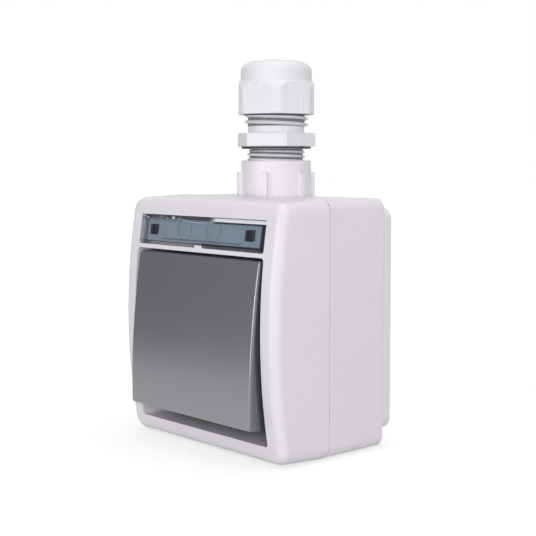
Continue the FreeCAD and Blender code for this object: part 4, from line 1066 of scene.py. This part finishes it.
@dataclass
class CapNut:
    """The gland's domed cap nut, with fine ribs on its flats and one plain panel."""

    bottom: float = 69.3
    grip_top: float = 80.5
    dome_top: float = 87.3
    dome_radius: float = 12.15
    shoulder: float = 3.6
    shoulder_run: float = 5.0
    fullness: float = 0.56
    shoulder_steps: int = 16
    thread: float = 11.12
    thread_land: float = 0.8
    thread_end: float = 76.9
    cone_foot: float = 9.6
    cone_drop: float = 0.8
    wall: float = 2.4
    hole: float = 6.9
    hole_edge: float = 0.15
    across_flats: float = 25.6
    corner: float = 13.9
    corner_turn: float = -42.2
    chamfer_drop: float = 2.0
    chamfer_land: float = 0.3
    chamfer_step: float = 0.09
    foot_rise: float = 0.4
    foot_cut: float = 0.35
    foot_step: float = 0.2
    side_step: float = 3.0
    rib_pitch: float = 0.95
    rib_depth: float = 0.18
    rib_reach: float = 5.8
    rib_fullness: float = 0.7
    panel_half: float = 2.1
    panel_middle: float = -1.1
    panel_flat: int = 0
    segments: int = 720
    marker: float = 20.0

    def shoulder_points(self) -> list[Point]:
        """Returns: the dome's side, rounded shoulder and flat top, upwards."""
        low = self.dome_top - self.shoulder
        flat = self.dome_radius - self.shoulder_run
        poles = [(self.dome_radius, low), (self.dome_radius, low + self.fullness * self.shoulder),
                 (flat + self.fullness * self.shoulder_run, self.dome_top), (flat, self.dome_top)]
        points = []
        for i in range(self.shoulder_steps + 1):
            t = i / self.shoulder_steps
            weights = ((1 - t) ** 3, 3 * t * (1 - t) ** 2, 3 * t * t * (1 - t), t ** 3)
            points.append((sum(w * p[0] for w, p in zip(weights, poles)),
                           sum(w * p[1] for w, p in zip(weights, poles))))
        return points

    def grip_radius(self, angle: float, z: float) -> float:
        """Finds the skin of the ribbed grip.

        Args:
            angle: the angle about the axis, in radians.
            z: the height.

        Returns:
            The radius there.
        """
        from_corner = angle - math.radians(self.corner_turn)
        off = from_corner % FLAT_ANGLE - FLAT_ANGLE / 2.0
        flat = math.floor(from_corner / FLAT_ANGLE) % 6
        radius = hexagon_radius(angle, self.across_flats, self.corner, self.corner_turn)
        along = self.across_flats / 2.0 * math.tan(off)
        plain = flat == self.panel_flat and abs(along - self.panel_middle) < self.panel_half
        if abs(along) < self.rib_reach and not plain:
            wave = abs(math.sin(math.pi * (along / self.rib_pitch + 0.5)))
            radius -= self.rib_depth * (1.0 - wave ** self.rib_fullness)
        start = self.grip_top - self.chamfer_drop
        if z > start:
            share = (z - start) / self.chamfer_drop
            limit = self.corner + (self.dome_radius + self.chamfer_land - self.corner) * share
            radius = min(radius, limit)
        foot = (z - self.bottom) / self.foot_rise
        if foot < 1.0:
            radius = min(radius, self.corner - self.foot_cut * (1.0 - foot))
        return radius

    def build(self) -> Object:
        """Turns the nut and forms its grip.

        Returns:
            The piece.
        """
        chamfer, cone = self.grip_top - self.chamfer_drop, self.dome_top - self.wall
        heights = steps(self.bottom, self.bottom + self.foot_rise, self.foot_step)
        heights += steps(self.bottom + 2.0 * self.foot_rise, chamfer, self.side_step)
        heights += steps(chamfer, self.grip_top, self.chamfer_step)[1:]
        profile = [(self.thread, self.bottom), (self.thread + self.thread_land, self.bottom)]
        profile += [(self.marker, z) for z in heights]
        profile += [(self.dome_radius, self.grip_top)]
        profile += self.shoulder_points()
        profile += [(self.hole + self.hole_edge, self.dome_top), (self.hole, self.dome_top - self.hole_edge),
                    (self.hole, cone), (self.cone_foot, cone - self.cone_drop),
                    (self.thread, self.thread_end)]

        def mould(angle: float, radius: float, z: float) -> float:
            return self.grip_radius(angle, z) if radius > self.marker - 1.0 else radius

        mesh = revolve(profile, self.segments, self.corner_turn, mould)
        return finish_piece(mesh, "cap_nut_ribbed", Slot.GLAND, Body.CAP, "gland_nut", sharp=28.0)


@dataclass
class Gland(Assembly):
    """The cable gland: body, cap nut, washer and seal."""

    looks = {Slot.RUBBER: ("gland_washer", "gland_seal")}
    body: GlandBody = field(default_factory=GlandBody)
    nut: CapNut = field(default_factory=CapNut)

    def build(self) -> None:
        """Builds the body and the nut."""
        self.body.build()
        self.nut.build()


# Studio
@dataclass(frozen=True)
class Lamp:
    """A square soft lamp: where it hangs, its side, its watts and whether glossy skins mirror it."""

    name: str
    place: Place
    size: float
    power: float
    mirrored: bool = True


@dataclass
class Studio:
    """A pale floor in a soft white tent, with four broad lamps and a grey flag for the rocker to mirror."""

    floor_z: float = -41.8
    floor_size: float = 6000.0
    tent: float = 0.30
    lamps: tuple[Lamp, ...] = (
        Lamp("key lamp", (830.0, -722.0, 165.0), 400.0, 5.7, mirrored=False),
        Lamp("fill lamp", (-60.0, -1000.0, 165.0), 400.0, 2.6),
        Lamp("side lamp", (900.0, 330.0, 165.0), 400.0, 0.9),
        Lamp("top lamp", (0.0, 100.0, 1000.0), 800.0, 4.3),
    )
    flag_place: Place = (-132.0, -148.0, 86.0)
    flag_size: Span = (275.0, 262.0)
    flag_tone: Tone = Tone(138, 138, 143)
    floor_tone: Tone = Tone(190, 190, 190)
    floor_glow: Span = (0.64, 1.0)
    floor_reach: Span = (120.0, 600.0)
    white: tuple[float, float, float, float] = (1.0, 1.0, 1.0, 1.0)
    aim: Place = (0.0, -27.0, 20.0)
    seeing_rays: tuple[str, str, str] = ("Is Camera Ray", "Is Glossy Ray", "Is Transmission Ray")

    def build(self) -> None:
        """Sets up the world, the floor, the lamps and the flag."""
        self.light_world()
        self.lay_floor()
        for lamp in self.lamps:
            self.hang_lamp(lamp)
        self.stand_flag()

    def seen(self, graph: Graph) -> NodeSocket:
        """Returns: a mask of what the camera, a reflection or a clear skin sees."""
        camera, glossy, clear = (graph.add("ShaderNodeLightPath").outputs[name] for name in self.seeing_rays)
        return graph.most(graph.most(camera, glossy), clear)

    def point(self, item: Object, place: Place, front: str) -> None:
        """Places an object with its front towards the part.

        Args:
            item: the object.
            place: where it stands or hangs.
            front: the object's own axis that is its front.
        """
        item.location = Vector(place) * MM
        item.rotation_mode = "QUATERNION"
        item.rotation_quaternion = (Vector(self.aim) - Vector(place)).to_track_quat(front, "Y")

    def light_world(self) -> None:
        """Makes the tent: white where the camera or a reflection sees it, and plain soft light otherwise."""
        world = bpy.data.worlds.new("tent")
        world.use_nodes = True
        bpy.context.scene.world = world
        graph = Graph(world.node_tree)
        back = graph.add("ShaderNodeBackground")
        strength = graph.math("ADD", self.tent, graph.times(self.seen(graph), 1.0 - self.tent))
        graph.feed(back, Color=self.white, Strength=strength)
        graph.put(graph.add("ShaderNodeOutputWorld").inputs["Surface"], back.outputs[0])

    def lay_floor(self) -> None:
        """Lays the floor, which is white to the camera and keeps the part's shadow."""
        mesh = bmesh.new()
        bmesh.ops.create_grid(mesh, x_segments=1, y_segments=1, size=self.floor_size * MM / 2.0)
        bmesh.ops.translate(mesh, verts=mesh.verts, vec=(0.0, 0.0, self.floor_z * MM))
        floor = link_mesh(mesh, "floor")
        material, graph, surface = start_material("floor")
        away = graph.add("ShaderNodeVectorMath", operation="LENGTH")
        graph.put(away.inputs[0], graph.place())
        low, high = self.floor_reach
        painted_highlight = graph.ramp(away.outputs["Value"], low * MM, high * MM, *self.floor_glow)
        paper = graph.add("ShaderNodeBsdfDiffuse")
        graph.feed(paper, Color=self.floor_tone.linear())
        light = graph.add("ShaderNodeEmission")
        graph.feed(light, Color=self.white, Strength=graph.times(self.seen(graph), painted_highlight))
        both = graph.add("ShaderNodeAddShader")
        graph.put(both.inputs[0], paper.outputs[0])
        graph.put(both.inputs[1], light.outputs[0])
        graph.put(surface, both.outputs[0])
        floor.data.materials.append(material)
        LOG.info("floor: %.1f mm below the frame's origin", -self.floor_z)

    def stand_flag(self) -> None:
        """Stands a grey card beside the part that only reflections see."""
        mesh = bmesh.new()
        bmesh.ops.create_grid(mesh, x_segments=1, y_segments=1, size=0.5)
        width, height = self.flag_size
        bmesh.ops.scale(mesh, verts=mesh.verts, vec=(width * MM, height * MM, 1.0))
        flag = link_mesh(mesh, "flag")
        self.point(flag, self.flag_place, "Z")
        flag.visible_camera = False
        flag.visible_diffuse = False
        flag.visible_shadow = False
        material, graph, surface = start_material("flag")
        card = graph.add("ShaderNodeEmission")
        graph.feed(card, Color=self.flag_tone.linear(), Strength=1.0)
        graph.put(surface, card.outputs[0])
        flag.data.materials.append(material)
        LOG.info("flag: %.0f by %.0f mm", width, height)

    def hang_lamp(self, lamp: Lamp) -> None:
        """Hangs a lamp that points at the part.

        Args:
            lamp: its name, place, side and power.
        """
        data = bpy.data.lights.new(lamp.name, "AREA")
        data.shape = "SQUARE"
        data.size = lamp.size * MM
        data.energy = lamp.power
        item = bpy.data.objects.new(lamp.name, data)
        self.point(item, lamp.place, "-Z")
        item.visible_glossy = lamp.mirrored
        bpy.context.scene.collection.objects.link(item)
        LOG.info("%s: %.1f W at %s", lamp.name, lamp.power, lamp.place)


@dataclass
class ProductCamera:
    """The camera at the photograph's place."""

    place: Place = (293.74, -284.83, 53.35)
    yaw: float = 48.046
    pitch: float = 5.296
    lens: float = 77.22
    sensor: float = 36.0
    nearest: float = 10.0
    farthest: float = 50000.0

    def build(self) -> None:
        """Creates the camera and makes it the scene's."""
        data = bpy.data.cameras.new("product camera")
        data.lens = self.lens
        data.sensor_width = self.sensor
        data.clip_start = self.nearest * MM
        data.clip_end = self.farthest * MM
        camera = bpy.data.objects.new("product camera", data)
        camera.location = Vector(self.place) * MM
        camera.rotation_euler = (math.radians(90.0 - self.pitch), 0.0, math.radians(self.yaw))
        bpy.context.scene.collection.objects.link(camera)
        bpy.context.scene.camera = camera
        LOG.info("camera: %.1f mm lens", self.lens)


def main() -> None:
    """Builds the sub-assemblies in order, then the studio and the camera."""
    logging.basicConfig(level=logging.INFO, format="%(message)s")
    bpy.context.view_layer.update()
    Housing().dress()
    LabelField().dress()
    rocker = Rocker()
    rocker.build()
    rocker.dress()
    SwitchInsert().dress()
    gland = Gland()
    gland.build()
    gland.dress()
    Studio().build()
    ProductCamera().build()
    bpy.context.scene.view_settings.view_transform = "Standard"


if __name__ == "__main__":
    main()
